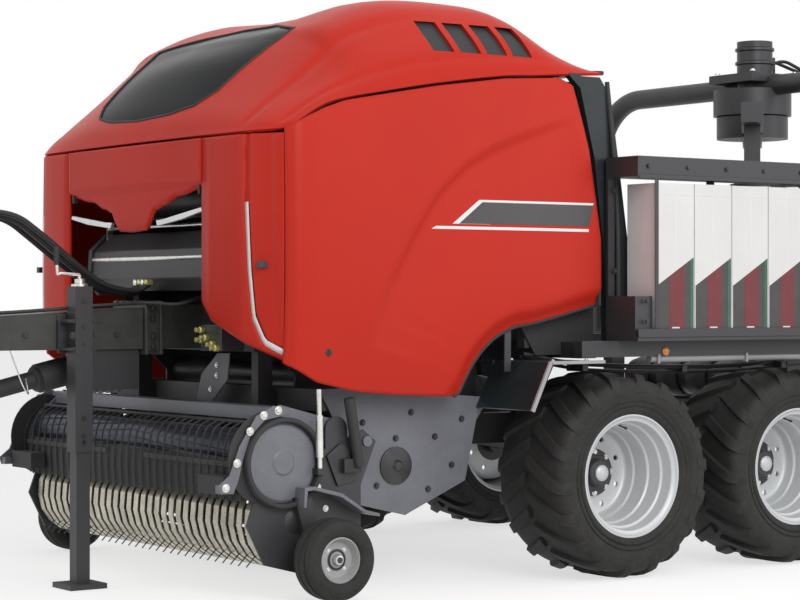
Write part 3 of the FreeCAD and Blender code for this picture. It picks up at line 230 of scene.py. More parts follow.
# ------------------------------------------------------------------ finishes
def make_finishes():
    """Every finish of the machine."""
    colours = bpy.context.scene.baler_paint
    grit = (0.32, 0.31, 0.30)
    finish_material("panel_red", tuple(colours.red), 0.40, 0.05, coat=0.04, coat_rough=0.2,
                    vary=0.04, scale=1.3, bump=0.02, bump_scale=500, specular=0.12)
    finish_material("frame_black", tuple(colours.black), 0.46, 0.08, vary=0.25, scale=6,
                    bump=0.06, bump_scale=260, specular=0.18, dust=(0.05, (0.12, 0.11, 0.10)))
    finish_material("slate", (0.022, 0.028, 0.031), 0.4, 0.06, vary=0.15, scale=4, bump=0.03,
                    specular=0.3, dust=(0.05, (0.12, 0.12, 0.12)))
    finish_material("plate_grey", tuple(colours.grey), 0.4, 0.08, vary=0.12, scale=5, bump=0.04,
                    dust=(0.10, grit))
    finish_material("light_grey", (0.40, 0.40, 0.40), 0.4, 0.08, vary=0.08, scale=6, bump=0.04,
                    dust=(0.12, (0.25, 0.24, 0.22)))
    finish_material("rim_silver", tuple(colours.silver), 0.36, 0.06, metallic=0.2, vary=0.06,
                    scale=8, bump=0.04, dust=(0.12, (0.35, 0.33, 0.3)))
    finish_material("tyre_rubber", (0.020, 0.0195, 0.019), 0.72, 0.1, vary=0.3, scale=9,
                    bump=0.25, bump_scale=180, specular=0.35, dust=(0.22, (0.075, 0.07, 0.06)))
    finish_material("zinc", (0.56, 0.53, 0.44), 0.36, 0.12, metallic=0.75, vary=0.22, scale=14,
                    bump=0.08, bump_scale=120, stretch=(1, 1, 6), dust=(0.35, (0.16, 0.14, 0.1)))
    finish_material("bright_steel", (0.72, 0.71, 0.68), 0.28, 0.08, metallic=0.9, vary=0.1,
                    scale=20, bump=0.06, bump_scale=200)
    finish_material("yellow_zinc", (0.62, 0.58, 0.22), 0.34, 0.1, metallic=0.7, vary=0.2,
                    scale=22, bump=0.05)
    finish_material("dark_steel", (0.05, 0.05, 0.054), 0.42, 0.12, metallic=0.55, vary=0.3,
                    scale=10, bump=0.1, dust=(0.2, (0.12, 0.115, 0.1)))
    finish_material("roller_steel", (0.045, 0.05, 0.075), 0.34, 0.1, metallic=0.5, vary=0.25,
                    scale=9, bump=0.06, dust=(0.15, (0.12, 0.12, 0.12)))
    finish_material("visor_gloss", (0.012, 0.013, 0.015), 0.24, 0.05, vary=0.15, scale=2,
                    bump=0.01, specular=0.03)
    finish_material("guard_plastic", (0.014, 0.014, 0.015), 0.55, 0.08, vary=0.2, scale=12,
                    bump=0.12, bump_scale=220, specular=0.3)
    finish_material("hose_rubber", (0.016, 0.016, 0.017), 0.5, 0.08, vary=0.2, scale=20,
                    bump=0.15, bump_scale=400)
    finish_material("belt_rubber", (0.03, 0.03, 0.031), 0.6, 0.1, vary=0.25, scale=10,
                    bump=0.4, bump_scale=90)
    finish_material("carton_board", (0.80, 0.79, 0.78), 0.6, 0.06, vary=0.03, scale=4,
                    bump=0.05, bump_scale=150)
    finish_material("print_grey", (0.062, 0.056, 0.054), 0.55, 0.06, vary=0.12, scale=12,
                    bump=0.04, bump_scale=150)
    finish_material("print_red", (0.17, 0.026, 0.032), 0.55, 0.06, vary=0.1, scale=12, bump=0.04,
                    bump_scale=150)
    finish_material("print_green", (0.04, 0.14, 0.09), 0.55, 0.06, vary=0.1, scale=12, bump=0.04,
                    bump_scale=150)
    finish_material("decal_white", (0.80, 0.80, 0.80), 0.3, 0.04, coat=0.4, vary=0.03, scale=6,
                    bump=0.01)
    finish_material("decal_dark", (0.04, 0.034, 0.036), 0.35, 0.04, coat=0.1, vary=0.1, scale=6,
                    bump=0.01)
    finish_material("film_wrap", (0.70, 0.74, 0.70), 0.22, 0.08, coat=0.5, vary=0.06, scale=3,
                    bump=0.12, bump_scale=60, stretch=(0.2, 0.2, 9))
    finish_material("lamp_red", (0.5, 0.012, 0.01), 0.15, 0.04, coat=0.8, vary=0.1, scale=20,
                    bump=0.2, bump_scale=130)
    finish_material("lamp_amber", (0.75, 0.24, 0.01), 0.15, 0.04, coat=0.8, vary=0.1, scale=20,
                    bump=0.2, bump_scale=130)
    finish_material("bright_trim", (0.70, 0.71, 0.72), 0.22, 0.05, metallic=0.6, vary=0.05,
                    scale=8, bump=0.02)
    finish_material("beam_grey", (0.052, 0.054, 0.050), 0.42, 0.08, vary=0.2, scale=3, bump=0.05,
                    specular=0.35, dust=(0.10, (0.18, 0.17, 0.14)))


CARRIED = {
    "panel_red": ("door_left", "door_right", "roof_hood", "front_hood", "corner_panels"),
    "slate": ("rear_pillars", "tailgate", "wheel_shields"),
    "plate_grey": ("side_plates", "crop_roller_arms"),
    "rim_silver": ("rim_front_left", "rim_front_right", "rim_rear_left", "rim_rear_right"),
    "tyre_rubber": ("tyre_front_left", "tyre_front_right", "tyre_rear_left", "tyre_rear_right",
                    "gauge_wheel_left", "gauge_wheel_right"),
    "zinc": ("pickup_bands",),
    "roller_steel": ("crop_roller",),
    "dark_steel": ("table_roller_front", "table_roller_rear", "chamber_rolls", "feed_rotor",
                   "pickup_reel"),
    "visor_gloss": ("hood_visor",),
    "guard_plastic": ("drive_shaft",),
    "carton_board": ("film_cartons_left", "film_cartons_right"),
    "film_wrap": ("film_rolls",),
    "lamp_red": ("rear_lamps",),
    "beam_grey": ("drawbar",),
}


# ------------------------------------------------------------------ shapes
def block(shape, x, y, z):
    """Box between two values on each axis, in millimetres."""
    spots = [shape.verts.new(mm(a, b, c)) for a in x for b in y for c in z]
    for ring in ((0, 1, 3, 2), (4, 6, 7, 5), (0, 4, 5, 1), (2, 3, 7, 6), (0, 2, 6, 4),
                 (1, 5, 7, 3)):
        shape.faces.new([spots[i] for i in ring])


def prism(shape, plane, outline, low, high):
    """Outline in millimetres in a plane, drawn out between two values on the third axis."""
    def spot(a, b, c):
        """Place of a point of the outline at a value on the third axis."""
        if plane == "XZ":
            return mm(a, c, b)
        if plane == "YZ":
            return mm(c, a, b)
        return mm(a, b, c)
    ends = [[shape.verts.new(spot(a, b, c)) for a, b in outline] for c in (low, high)]
    shape.faces.new(ends[0])
    shape.faces.new(ends[1][::-1])
    stitch(shape, [end + end[:1] for end in ends])


def cap_rings(shape, rings):
    """Closed shape between a first and a last ring of points."""
    shape.faces.new(rings[0])
    shape.faces.new(rings[-1])
    stitch(shape, [ring + ring[:1] for ring in rings])


def stitch(shape, rows):
    """Faces between rows of the same number of points."""
    for first, second in zip(rows, rows[1:]):
        for i in range(len(first) - 1):
            shape.faces.new((first[i], first[i + 1], second[i + 1], second[i]))


def lathe(shape, profile, centre, axis, sides=48, closed=False):
    """Profile of (radius, along) in millimetres turned about an axis through a centre."""
    turn = Vector(axis).to_track_quat("Z", "Y")
    rows = []
    for radius, along in profile:
        ring = []
        for k in range(sides):
            angle = math.tau * (k + 0.5) / sides
            ring.append(shape.verts.new(centre + turn @ Vector(
                (radius * math.cos(angle), radius * math.sin(angle), along)) / 1000))
        rows.append(ring + ring[:1])
    if closed:
        rows.append(rows[0])
    else:
        shape.faces.new(rows[0][:-1])
        shape.faces.new(rows[-1][:-1])
    stitch(shape, rows)


def bar(shape, start, end, radius, sides=20):
    """Round bar between two places; radius in millimetres."""
    span = (end - start).length * 1000
    lathe(shape, ((radius, 0), (radius, span)), start, end - start, sides)


def bolt(shape, place, axis, size=12):
    """Hexagon head on a washer; size is the head's radius in millimetres."""
    lathe(shape, ((size * 1.5, 0), (size * 1.5, size * 0.25)), place, axis, 14)
    lathe(shape, ((size, size * 0.25), (size, size * 0.8), (size * 0.8, size * 0.95)), place,
          axis, 6)


def bolts(shape, axis, size, *places):
    """Bolts of one size at places in millimetres."""
    for place in places:
        bolt(shape, mm(*place), axis, size)


def bolt_ring(count, radius, x, y, z):
    """Places in millimetres round an upright axis."""
    for k in range(count):
        angle = math.tau * k / count
        yield x + radius * math.cos(angle), y + radius * math.sin(angle), z


CORNER_STEPS = 5


def rounded(points, share):
    """Line through places with its corners rounded."""
    line = [points[0]]
    for before, corner, after in zip(points, points[1:], points[2:]):
        reach = share * min((corner - before).length, (after - corner).length)
        start = corner + (before - corner).normalized() * reach
        end = corner + (after - corner).normalized() * reach
        for k in range(CORNER_STEPS + 1):
            t = k / CORNER_STEPS
            line.append(start * (1 - t) ** 2 + corner * 2 * t * (1 - t) + end * t * t)
    return line + [points[-1]]


def pipe(shape, points, radius, sides=12, share=0.45):
    """Tube of a radius in millimetres along a rounded line."""
    line = rounded(points, share)
    side = (line[1] - line[0]).orthogonal().normalized()
    rows = []
    for i, place in enumerate(line):
        along = (line[min(i + 1, len(line) - 1)] - line[max(i - 1, 0)]).normalized()
        side = (side - along * side.dot(along)).normalized()
        lift = along.cross(side)
        ring = [shape.verts.new(place + (side * math.cos(math.tau * k / sides)
                                         + lift * math.sin(math.tau * k / sides)) * radius / 1000)
                for k in range(sides)]
        rows.append(ring + ring[:1])
    shape.faces.new(rows[0][:-1])
    shape.faces.new(rows[-1][:-1])
    stitch(shape, rows)


def grid(shape, rows):
    """Open sheet through rows of places; the places are in metres."""
    stitch(shape, [[shape.verts.new(spot) for spot in row] for row in rows])


def piece(name, shape, finish, body="root", bevel=0.0, sheet=0.0, hides=(), sharp=38):
    """Shape as a dressed piece that moves with a body; bevel and sheet in millimetres."""
    bmesh.ops.recalc_face_normals(shape, faces=shape.faces[:])
    mesh = bpy.data.meshes.new(name)
    shape.to_mesh(mesh)
    shape.free()
    mesh.materials.append(bpy.data.materials[finish])
    item = bpy.data.objects.new(name, mesh)
    bpy.context.scene.collection.objects.link(item)
    shade(mesh, sharp)
    if sheet:
        solid = item.modifiers.new("sheet", "SOLIDIFY")
        solid.thickness = abs(sheet) / 1000
        solid.offset = -1 if sheet > 0 else 1
        solid.use_even_offset = False
    if bevel:
        edge = item.modifiers.new("edge", "BEVEL")
        edge.width = bevel / 1000
        edge.segments = 2
        edge.limit_method = "ANGLE"
        edge.angle_limit = math.radians(40)
        edge.harden_normals = False
    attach(item, body)
    if hides:
        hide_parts(*hides)
    return item


def drawn(*steps):
    """Shape made by drawing steps, each a function and the values that it takes."""
    shape = bmesh.new()
    for draw, *values in steps:
        draw(shape, *values)
    return shape


def move_shape(shape, place, side):
    """Turns a shape drawn for the left about its own centre and puts it in place."""
    if side < 0:
        bmesh.ops.scale(shape, vec=(1, -1, 1), verts=shape.verts)
    bmesh.ops.translate(shape, vec=place, verts=shape.verts)
    return shape


def fit(name, finish, *middle, twins=(), at=None, side=1, **options):
    """Dressed piece from drawing steps; twins are drawn on the left and mirrored to the right."""
    shape = drawn(*twins)
    if twins:
        copy = bmesh.ops.duplicate(shape, geom=shape.verts[:] + shape.edges[:] + shape.faces[:])
        bmesh.ops.scale(shape, vec=(1, -1, 1),
                        verts=[g for g in copy["geom"] if isinstance(g, bmesh.types.BMVert)])
    for draw, *values in middle:
        draw(shape, *values)
    if at is not None:
        move_shape(shape, at, side)
    return piece(name, shape, finish, **options)


def shade(mesh, sharp):
    """Smooth faces with sharp edges past an angle in degrees."""
    mesh.polygons.foreach_set("use_smooth", [True] * len(mesh.polygons))
    mesh.set_sharp_from_angle(angle=math.radians(sharp))


def carve(item, cutter_shape, operation="DIFFERENCE"):
    """Cuts a piece, its modifiers applied, with a closed shape."""
    bmesh.ops.recalc_face_normals(cutter_shape, faces=cutter_shape.faces[:])
    mesh = bpy.data.meshes.new("cutter")
    cutter_shape.to_mesh(mesh)
    cutter_shape.free()
    cutter = bpy.data.objects.new("cutter", mesh)
    bpy.context.scene.collection.objects.link(cutter)
    work = item.modifiers.new("carve", "BOOLEAN")
    work.operation = operation
    work.solver = "EXACT"
    work.object = cutter
    bpy.context.view_layer.update()
    graph = bpy.context.evaluated_depsgraph_get()
    result = bpy.data.meshes.new_from_object(item.evaluated_get(graph))
    item.modifiers.clear()
    old = item.data
    item.data = result
    result.name = old.name + "_cut"
    bpy.data.meshes.remove(old)
    bpy.data.objects.remove(cutter)
    bpy.data.meshes.remove(mesh)
    shade(result, 38)


def smooth_at(table, place):
    """Value of the smooth line through rows of (place, value)."""
    last = len(table) - 1
    i = 1
    while i < last and table[i][0] < place:
        i += 1
    (x0, y0), (x1, y1) = table[i - 1], table[i]

    def slope(k):
        """Slope of the line at a row."""
        a, b = table[max(k - 1, 0)], table[min(k + 1, last)]
        return (b[1] - a[1]) / (b[0] - a[0])
    run = x1 - x0
    t = min(max((place - x0) / run, 0.0), 1.0)
    return ((2 * t ** 3 - 3 * t ** 2 + 1) * y0 + (t ** 3 - 2 * t ** 2 + t) * run * slope(i - 1)
            + (3 * t ** 2 - 2 * t ** 3) * y1 + (t ** 3 - t ** 2) * run * slope(i))


def along(points, share):
    """Place at a share of a line's length, in the line's own flat coordinates."""
    spans = [math.dist(a, b) for a, b in zip(points, points[1:])]
    left = share * sum(spans)
    for a, b, span in zip(points, points[1:], spans):
        if left <= span or b is points[-1]:
            t = min(left / span, 1.0)
            return tuple(p + (q - p) * t for p, q in zip(a, b))
        left -= span
    return points[-1]


def nearest(points, place):
    """(distance, share of the line's length, side) from a line to a place, all flat."""
    best = (1e9, 0.0, 1)
    total = sum(math.dist(a, b) for a, b in zip(points, points[1:]))
    done = 0.0
    for a, b in zip(points, points[1:]):
        span = math.dist(a, b)
        run = (b[0] - a[0], b[1] - a[1])
        gap = (place[0] - a[0], place[1] - a[1])
        t = min(max((gap[0] * run[0] + gap[1] * run[1]) / span ** 2, 0.0), 1.0)
        away = math.dist(place, (a[0] + run[0] * t, a[1] + run[1] * t))
        if away < best[0]:
            side = 1 if run[0] * gap[1] - run[1] * gap[0] > 0 else -1
            best = (away, (done + span * t) / total, side)
        done += span
    return best


def ease(value):
    """Smooth step from 0 to 1."""
    value = min(max(value, 0.0), 1.0)
    return value * value * (3 - 2 * value)


# ------------------------------------------------------------------ hood skins
# The hood seen from above: (station, share of the full width), side to nose.
PLAN = ((-60, 0.984), (300, 0.996), (800, 1.0), (1300, 1.0), (1600, 1.0), (1720, 0.999),
        (1790, 0.992), (1838, 0.966))
CORNER = ((1842, 0.963), (1872, 0.926), (1904, 0.884), (1932, 0.838), (1950, 0.796),
          (1960, 0.72), (1965, 0.62), (1967, 0.54))
REACH = ((860, 1192), (1060, 1228), (1300, 1246), (1700, 1250), (2080, 1244), (2300, 1232),
         (2480, 1215))
DOOR_ARCH = ((10, 1331), (288, 1268), (430, 1238), (535, 1226), (640, 1180), (716, 1118),
             (770, 1050), (806, 978), (832, 915), (859, 898))
DOOR_SILL = ((859, 898), (1238, 916), (1463, 937), (1669, 981), (1838, 1071))
DOOR_REAR = ((10, 1331), (15, 1652), (88, 2093), (177, 2408), (264, 2440))
DOOR_TOP = ((264, 2440), (600, 2418), (1000, 2362), (1219, 2323), (1400, 2290), (1530, 2266),
            (1640, 2228), (1764, 2170), (1838, 2139))
SWEEP = ((180, 2240), (350, 2190), (510, 2140), (670, 2080), (830, 1998), (990, 1868),
         (1065, 1775), (1160, 1635), (1240, 1500), (1300, 1400), (1350, 1280), (1390, 1110))


FULL_REACH = 1250       # the hood's half width at its fullest
FRONT_DRAW = 300        # how far the hood's front draws back where the sides draw in
DOOR_FRONT = 1838       # front edge of a side door
PRESS_DEPTH, PRESS_EDGE, PRESS_FADE = 32, 62, 430
FLARE_DEPTH, FLARE_WIDTH = 42, 92


def side_reach(x, z):
    """How far the door skin stands out from the middle plane, in millimetres."""
    reach = smooth_at(REACH, z)
    shift = (reach / FULL_REACH - 1) * FRONT_DRAW if x > 1700 else 0
    return smooth_at(PLAN, min(x - shift, DOOR_FRONT)) * reach


def door_dent(x, z):
    """How far the pressed lines draw the door skin in, in millimetres."""
    away, share, side = nearest(SWEEP, (x, z))
    fade = math.sin(math.pi * min(max(share * 1.02, 0.0), 1.0)) ** 0.6
    if side < 0:
        step = ease(0.5 + away / PRESS_EDGE) * math.exp(-(away / PRESS_FADE) ** 2)
    else:
        step = ease(0.5 - away / PRESS_EDGE)
    arch = nearest(DOOR_ARCH, (x, z))[0]
    return PRESS_DEPTH * fade * step + FLARE_DEPTH * ease(1 - arch / FLARE_WIDTH)


def door_skin(shape, side):
    """Skin of a side door between its arch and sill, its rear edge, its front edge and its top."""
    across, up = 120, 84
    lower = DOOR_ARCH + DOOR_SILL[1:]
    corners = lower[0], lower[-1], DOOR_TOP[0], DOOR_TOP[-1]
    front = (DOOR_SILL[-1], DOOR_TOP[-1])
    rows = []
    for j in range(up + 1):
        v = j / up
        left, right = along(DOOR_REAR, v), along(front, v)
        row = []
        for i in range(across + 1):
            u = i / across
            low, high = along(lower, u), along(DOOR_TOP, u)
            flat = [(1 - v) * low[k] + v * high[k] + (1 - u) * left[k] + u * right[k]
                    - (1 - u) * (1 - v) * corners[0][k] - u * (1 - v) * corners[1][k]
                    - (1 - u) * v * corners[2][k] - u * v * corners[3][k] for k in (0, 1)]
            reach = side_reach(*flat) - door_dent(*flat)
            row.append(mm(flat[0], side * reach, flat[1]))
        rows.append(row)
    grid(shape, rows)


def edge_tube(shape, side, line, inset, drop, radius):
    """Rubber edge along a line on the door skin, inset from it and dropped below it."""
    pipe(shape, [mm(x, side * (side_reach(x, z) - inset), z - drop) for x, z in line], radius,
         8, 0.4)


GROOVE = ((1029, 2100), (1029, 1795), (1044, 1500), (1064, 1280), (1111, 1165), (1190, 1118))
GROOVE_TRIM = ((1030, 1800), (1044, 1500), (1064, 1280), (1111, 1165), (1186, 1120))
CORNER_FOOT = ((675, 1330), (720, 1268), (930, 1190), (1110, 1120), (1215, 1072))
CORNER_TOP = 2108
CORNER_FOLD = ((1155, 2120), (1165, 1600), (1185, 1200), (1230, 1100))
GROOVE_DEPTH, GROOVE_HALF = 16, 9


def corner_place(share, z, proud=0.0):
    """Place on the corner panel's skin, from its door edge to its nose edge."""
    reach = smooth_at(REACH, z)
    spot = along(CORNER_LINE, share)
    ahead = along(CORNER_LINE, min(share + 0.01, 1.0))
    behind = along(CORNER_LINE, max(share - 0.01, 0.0))
    run = (ahead[0] - behind[0], (ahead[1] - behind[1]) * FULL_REACH)
    length = math.hypot(*run)
    out = (-run[1] / length, run[0] / length)
    return (spot[0] + (reach / FULL_REACH - 1) * FRONT_DRAW + out[0] * proud,
            spot[1] * reach + out[1] * proud, z)


CORNER_LINE = tuple((smooth_at(tuple((k, row[0]) for k, row in enumerate(CORNER)), t / 6),
                     smooth_at(tuple((k, row[1]) for k, row in enumerate(CORNER)), t / 6))
                    for t in range(43))


def corner_foot(y):
    """Lower edge of the corner panel at a reach from the middle plane."""
    for (y0, z0), (y1, z1) in zip(CORNER_FOOT, CORNER_FOOT[1:]):
        if y <= y1:
            return z0 + (z1 - z0) * max(y - y0, 0) / (y1 - y0)
    return CORNER_FOOT[-1][1]


def corner_skin(shape, side):
    """Skin of a corner panel, from the side door round to the nose."""
    across, up = 96, 64
    rows = []
    for j in range(up + 1):
        row = []
        for i in range(across + 1):
            share = i / across
            foot = corner_foot(corner_place(share, 1200)[1])
            z = foot + (CORNER_TOP - foot) * j / up
            x, y, z = corner_place(share, z)
            gap = nearest(GROOVE, (y, z))[0]
            away, _, edge = nearest(CORNER_FOLD, (y, z))
            dent = GROOVE_DEPTH * (1 - ease(gap / GROOVE_HALF - 1))
            dent += 6 * ease(0.5 - edge * away / 24)
            dent += 10 * ease(1 - (z - foot) / 26)
            x, y, z = corner_place(share, z, -dent)
            row.append(mm(x, side * y, z))
        rows.append(row)
    grid(shape, rows)


def corner_line_places(line, proud):
    """Places on the corner skin where a line seen from the front lies."""
    places = []
    for k in range(29):
        y, z = along(line, k / 28)
        low, high = 0.0, 1.0
        for _ in range(18):
            middle = (low + high) / 2
            if corner_place(middle, z)[1] > y:
                low = middle
            else:
                high = middle
        places.append(corner_place((low + high) / 2, z, proud))
    return places


def ribbon(shape, places, side, width):
    """Flat strip along places, laid across the machine's width."""
    rows = []
    for i, (x, y, z) in enumerate(places):
        ahead = places[min(i + 1, len(places) - 1)]
        behind = places[max(i - 1, 0)]
        run = (ahead[1] - behind[1], ahead[2] - behind[2])
        length = math.hypot(*run) or 1
        dy, dz = -run[1] / length * width / 2, run[0] / length * width / 2
        slope = (ahead[0] - behind[0]) / length
        rows.append([mm(x - slope * 0.3 * k, side * (y + dy * k), z + dz * k)
                     for k in (-1, 0, 1)])
    grid(shape, rows)


NOSE_LIP = ((675, 1880), (450, 1848), (300, 1806), (235, 1788), (132, 1692), (0, 1686))
NOSE_HALF = 669


def nose_x(y):
    """Station of the nose panel at a reach from the middle plane."""
    return smooth_at(((0, 1975), (200, 1974), (450, 1969), (669, 1966)), abs(y))


def nose_skin(shape):
    """Skin of the nose panel with its pointed lip."""
    rows = []
    for j in range(37):
        row = []
        for i in range(113):
            y = NOSE_HALF * (i / 56 - 1)
            lip = 1880
            for (y0, z0), (y1, z1) in zip(NOSE_LIP, NOSE_LIP[1:]):
                if y1 <= abs(y) <= y0:
                    t = (y0 - abs(y)) / (y0 - y1)
                    lip = z0 + (z1 - z0) * ease(t)
            z = lip + (CORNER_TOP - lip) * j / 36
            dent = 9 * ease(0.5 + (1900 - z) / 26) + 14 * ease(1 - (z - lip) / 22)
            row.append(mm(nose_x(y) - dent, y, z))
        rows.append(row)
    grid(shape, rows)


# Roof lines front to rear: reach from the middle plane, then (station, height).
ROOF = (
    (1190, ((1786, 2133), (1766, 2160), (1720, 2190), (1640, 2238), (1530, 2277), (1300, 2322),
            (1000, 2376), (600, 2434), (374, 2450), (174, 2468), (-30, 2486))),
    (1150, ((1850, 2129), (1812, 2166), (1745, 2210), (1640, 2276), (1530, 2330), (1300, 2412),
            (1000, 2480), (600, 2524), (374, 2528), (174, 2512), (-30, 2490))),
    (1060, ((1912, 2125), (1866, 2176), (1780, 2240), (1620, 2338), (1500, 2415), (1330, 2524),
            (1000, 2606), (600, 2650), (374, 2644), (174, 2570), (-30, 2498))),
    (900, ((1946, 2122), (1896, 2196), (1800, 2285), (1640, 2420), (1500, 2544), (1380, 2656),
           (1050, 2768), (600, 2784), (374, 2742), (174, 2626), (-30, 2504))),
    (600, ((1962, 2122), (1926, 2212), (1830, 2322), (1680, 2470), (1530, 2596), (1400, 2680),
           (1080, 2806), (600, 2830), (374, 2782), (174, 2656), (-30, 2510))),
    (300, ((1967, 2122), (1936, 2222), (1846, 2345), (1700, 2500), (1540, 2608), (1410, 2676),
           (1080, 2782), (600, 2844), (374, 2802), (174, 2668), (-30, 2514))),
    (0, ((1969, 2122), (1939, 2226), (1850, 2352), (1705, 2510), (1545, 2614), (1412, 2680),
         (1080, 2780), (600, 2848), (374, 2810), (174, 2674), (-30, 2516))),
)
VISOR = ((-660, 2655), (-628, 2560), (-592, 2420), (-574, 2345), (-480, 2276), (-300, 2244),
         (0, 2230), (300, 2244), (480, 2276), (574, 2345), (592, 2420), (628, 2560), (660, 2655),
         (330, 2708), (0, 2718), (-330, 2708))
VISOR_HEAD, VISOR_SILL = 2600, 2300
LOUVRE_REAR, LOUVRE_STEP, LOUVRE_WIDTH, LOUVRE_LEAN = 372, 154, 118, 30


def roof_place(y, share, drop=0.0):
    """Place on the roof skin: reach from the middle plane and share from its front edge."""
    keys = ROOF[::-1]
    spot = share * (len(ROOF[0][1]) - 1)
    near = min(int(spot), 9)
    stations = range(max(near - 1, 0), min(near + 3, 11))
    rows_x, rows_z = [], []
    for k in stations:
        rows_x.append((k, smooth_at(tuple((row[0], row[1][k][0]) for row in keys), abs(y))))
        rows_z.append((k, smooth_at(tuple((row[0], row[1][k][1]) for row in keys), abs(y))))
    return (smooth_at(rows_x, spot), y, smooth_at(rows_z, spot) - drop)


def roof_crease(y, share):
    """How far the two pressed lines on the roof's shoulder draw the skin in."""
    low = ease((share - 0.04) / 0.1) * ease((0.9 - share) / 0.15)
    high = ease((share - 0.03) / 0.08) * ease((0.66 - share) / 0.22)
    return (11 * low * math.exp(-((abs(y) - 1146) / 8) ** 2)
            + 12 * high * math.exp(-((abs(y) - 985) / 20) ** 2))


def roof_skin(shape, drop=0.0):
    """Skin of the whole roof, finest over its shoulders."""
    keys = [0, 150, 300, 450, 570, 680, 770, 840, 890] + [930 + 10 * k for k in range(27)]
    reach = [-k for k in reversed(keys[1:])] + keys
    rows = []
    for j in range(101):
        row = []
        for y in reach:
            x, y, z = roof_place(y, j / 100, drop)
            dip = 0 if drop else roof_crease(y, j / 100)
            row.append(mm(x, y - math.copysign(dip * 0.7, y), z - dip * 0.8))
        rows.append(row)
    grid(shape, rows)


def visor_prism(spread):
    """Closed shape that the visor's outline cuts from the roof, grown by spread."""
    shape = bmesh.new()
    outline = [(y + (spread if y > 0 else -spread if y < 0 else 0),
                z + (spread if z > VISOR_HEAD else -spread if z < VISOR_SILL else 0))
               for y, z in VISOR]
    prism(shape, "YZ", outline, 1180, 2085)
    return shape


def visor_edge():
    """Places on the roof skin round the visor's opening."""
    outline = []
    ring = VISOR + VISOR[:1]
    for a, b in zip(ring, ring[1:]):
        for k in range(4):
            outline.append((a[0] + (b[0] - a[0]) * k / 4, a[1] + (b[1] - a[1]) * k / 4))
    places = []
    for y, z in outline:
        low, high = 0.0, 0.55
        for _ in range(16):
            middle = (low + high) / 2
            if roof_place(y, middle)[2] < z:
                low = middle
            else:
                high = middle
        x, y, z = roof_place(y, (low + high) / 2)
        places.append(mm(x, y, z + 1))
    return places + places[:1]


def louvre_screen(shape, side):
    """Dark screen under one shoulder's louvres."""
    grid(shape, [[mm(*roof_place(side * y, 0.58 + 0.28 * j / 24, 30))
                  for y in (890, 960, 1030, 1070, 1110, 1140)] for j in range(25)])


class BALER_OT_roof(bpy.types.Operator):
    """Domed roof with its louvres, visor and seals"""
    bl_idname = "baler.roof"
    bl_label = "Roof and visor"

    def execute(self, context):
        roof = fit("roof_panel", "panel_red", (roof_skin,), sheet=16, hides=("roof_hood",),
                   sharp=60)
        cutter = visor_prism(5)
        for k in range(sizes().louvres):
            rear = LOUVRE_REAR + k * LOUVRE_STEP
            front = rear + LOUVRE_WIDTH
            for side in (1, -1):
                prism(cutter, "XZ", ((rear, 2538), (front, 2538), (front + LOUVRE_LEAN, 2690),
                                     (rear + LOUVRE_LEAN, 2690)), side * 905, side * 1235)
        carve(roof, cutter)
        visor = fit("visor_panel", "visor_gloss", (roof_skin, 3), sheet=12,
                    hides=("hood_visor",), sharp=60)
        carve(visor, visor_prism(0), "INTERSECT")
        fit("visor_seal", "guard_plastic", (pipe, visor_edge(), 6, 8, 0.3))
        rear = [mm(*roof_place(y, 1.0, 4)) for y in range(-1190, 1191, 85)]
        fit("roof_rear_seal", "guard_plastic", (pipe, rear, 11, 8, 0.3))
        fit("louvre_screens", "guard_plastic", (louvre_screen, 1), (louvre_screen, -1), sheet=-3)
        return {"FINISHED"}


def stripe_patch(shape, side, outline, proud):
    """Four-cornered patch that lies on the door skin; outline of (station, height)."""
    a, b, c, d = outline
    rows = []
    for j in range(7):
        v = j / 6
        row = []
        for i in range(41):
            u = i / 40
            x = (1 - v) * ((1 - u) * a[0] + u * b[0]) + v * ((1 - u) * d[0] + u * c[0])
            z = (1 - v) * ((1 - u) * a[1] + u * b[1]) + v * ((1 - u) * d[1] + u * c[1])
            row.append(mm(x, side * (side_reach(x, z) - door_dent(x, z) + proud), z))
        rows.append(row)
    grid(shape, rows)


class BALER_OT_doors(bpy.types.Operator):
    """Side doors with their pressed lines, flanges, seals and stripes"""
    bl_idname = "baler.doors"
    bl_label = "Side doors"

    def execute(self, context):
        for tag, side in SIDES:
            body = "door_" + tag
            fit("door_panel_" + tag, "panel_red", (door_skin, side), body=body, sheet=16,
                sharp=50, hides=(body,))
            fit("door_stripe_light_" + tag, "decal_white",
                (stripe_patch, side, ((1040, 1690), (96, 1690), (96, 1704), (1012, 1704)), 1.5),
                (stripe_patch, side, ((918, 1716), (700, 1716), (560, 1832), (760, 1832)), 1.3),
                (stripe_patch, side, ((760, 1820), (70, 1820), (62, 1832), (740, 1832)), 1.6),
                body=body)
            fit("door_stripe_dark_" + tag, "decal_dark",
                (stripe_patch, side, ((880, 1717), (90, 1717), (66, 1821), (742, 1821)), 1.9),
                body=body)
            fit("door_arch_edge_" + tag, "guard_plastic",
                (edge_tube, side, DOOR_ARCH, 46, 0, 9), body=body)
            fit("door_rear_seal_" + tag, "guard_plastic",
                (edge_tube, side, DOOR_REAR, 14, 2, 8), body=body)
            x, z = 1622, 1118
            y = side * (side_reach(x, z) - 2)
            fit("door_catch_" + tag, "guard_plastic",
                (lathe, ((17, 0), (17, 4), (12, 6)), mm(x, y, z), Y_AXIS * side, 20),
                (block, (x - 3, x + 3), (y, y + side * 9), (z - 16, z + 16)), body=body, bevel=1)
            stays = []
            for x, z in ((1500, 1200), (1500, 2050), (800, 2250), (250, 1500)):
                y = side * (side_reach(x, z) - 62)
                stays.append((block, (x - 60, x + 60), (y, y + side * 40), (z - 20, z + 20)))
            for x in (1350, 560):
                stays.append((block, (x - 20, x + 20), (side * 1178, side * 1188), (1010, 2250)))
            fit("door_frame_" + tag, "frame_black", *stays, body=body, bevel=3)
        return {"FINISHED"}


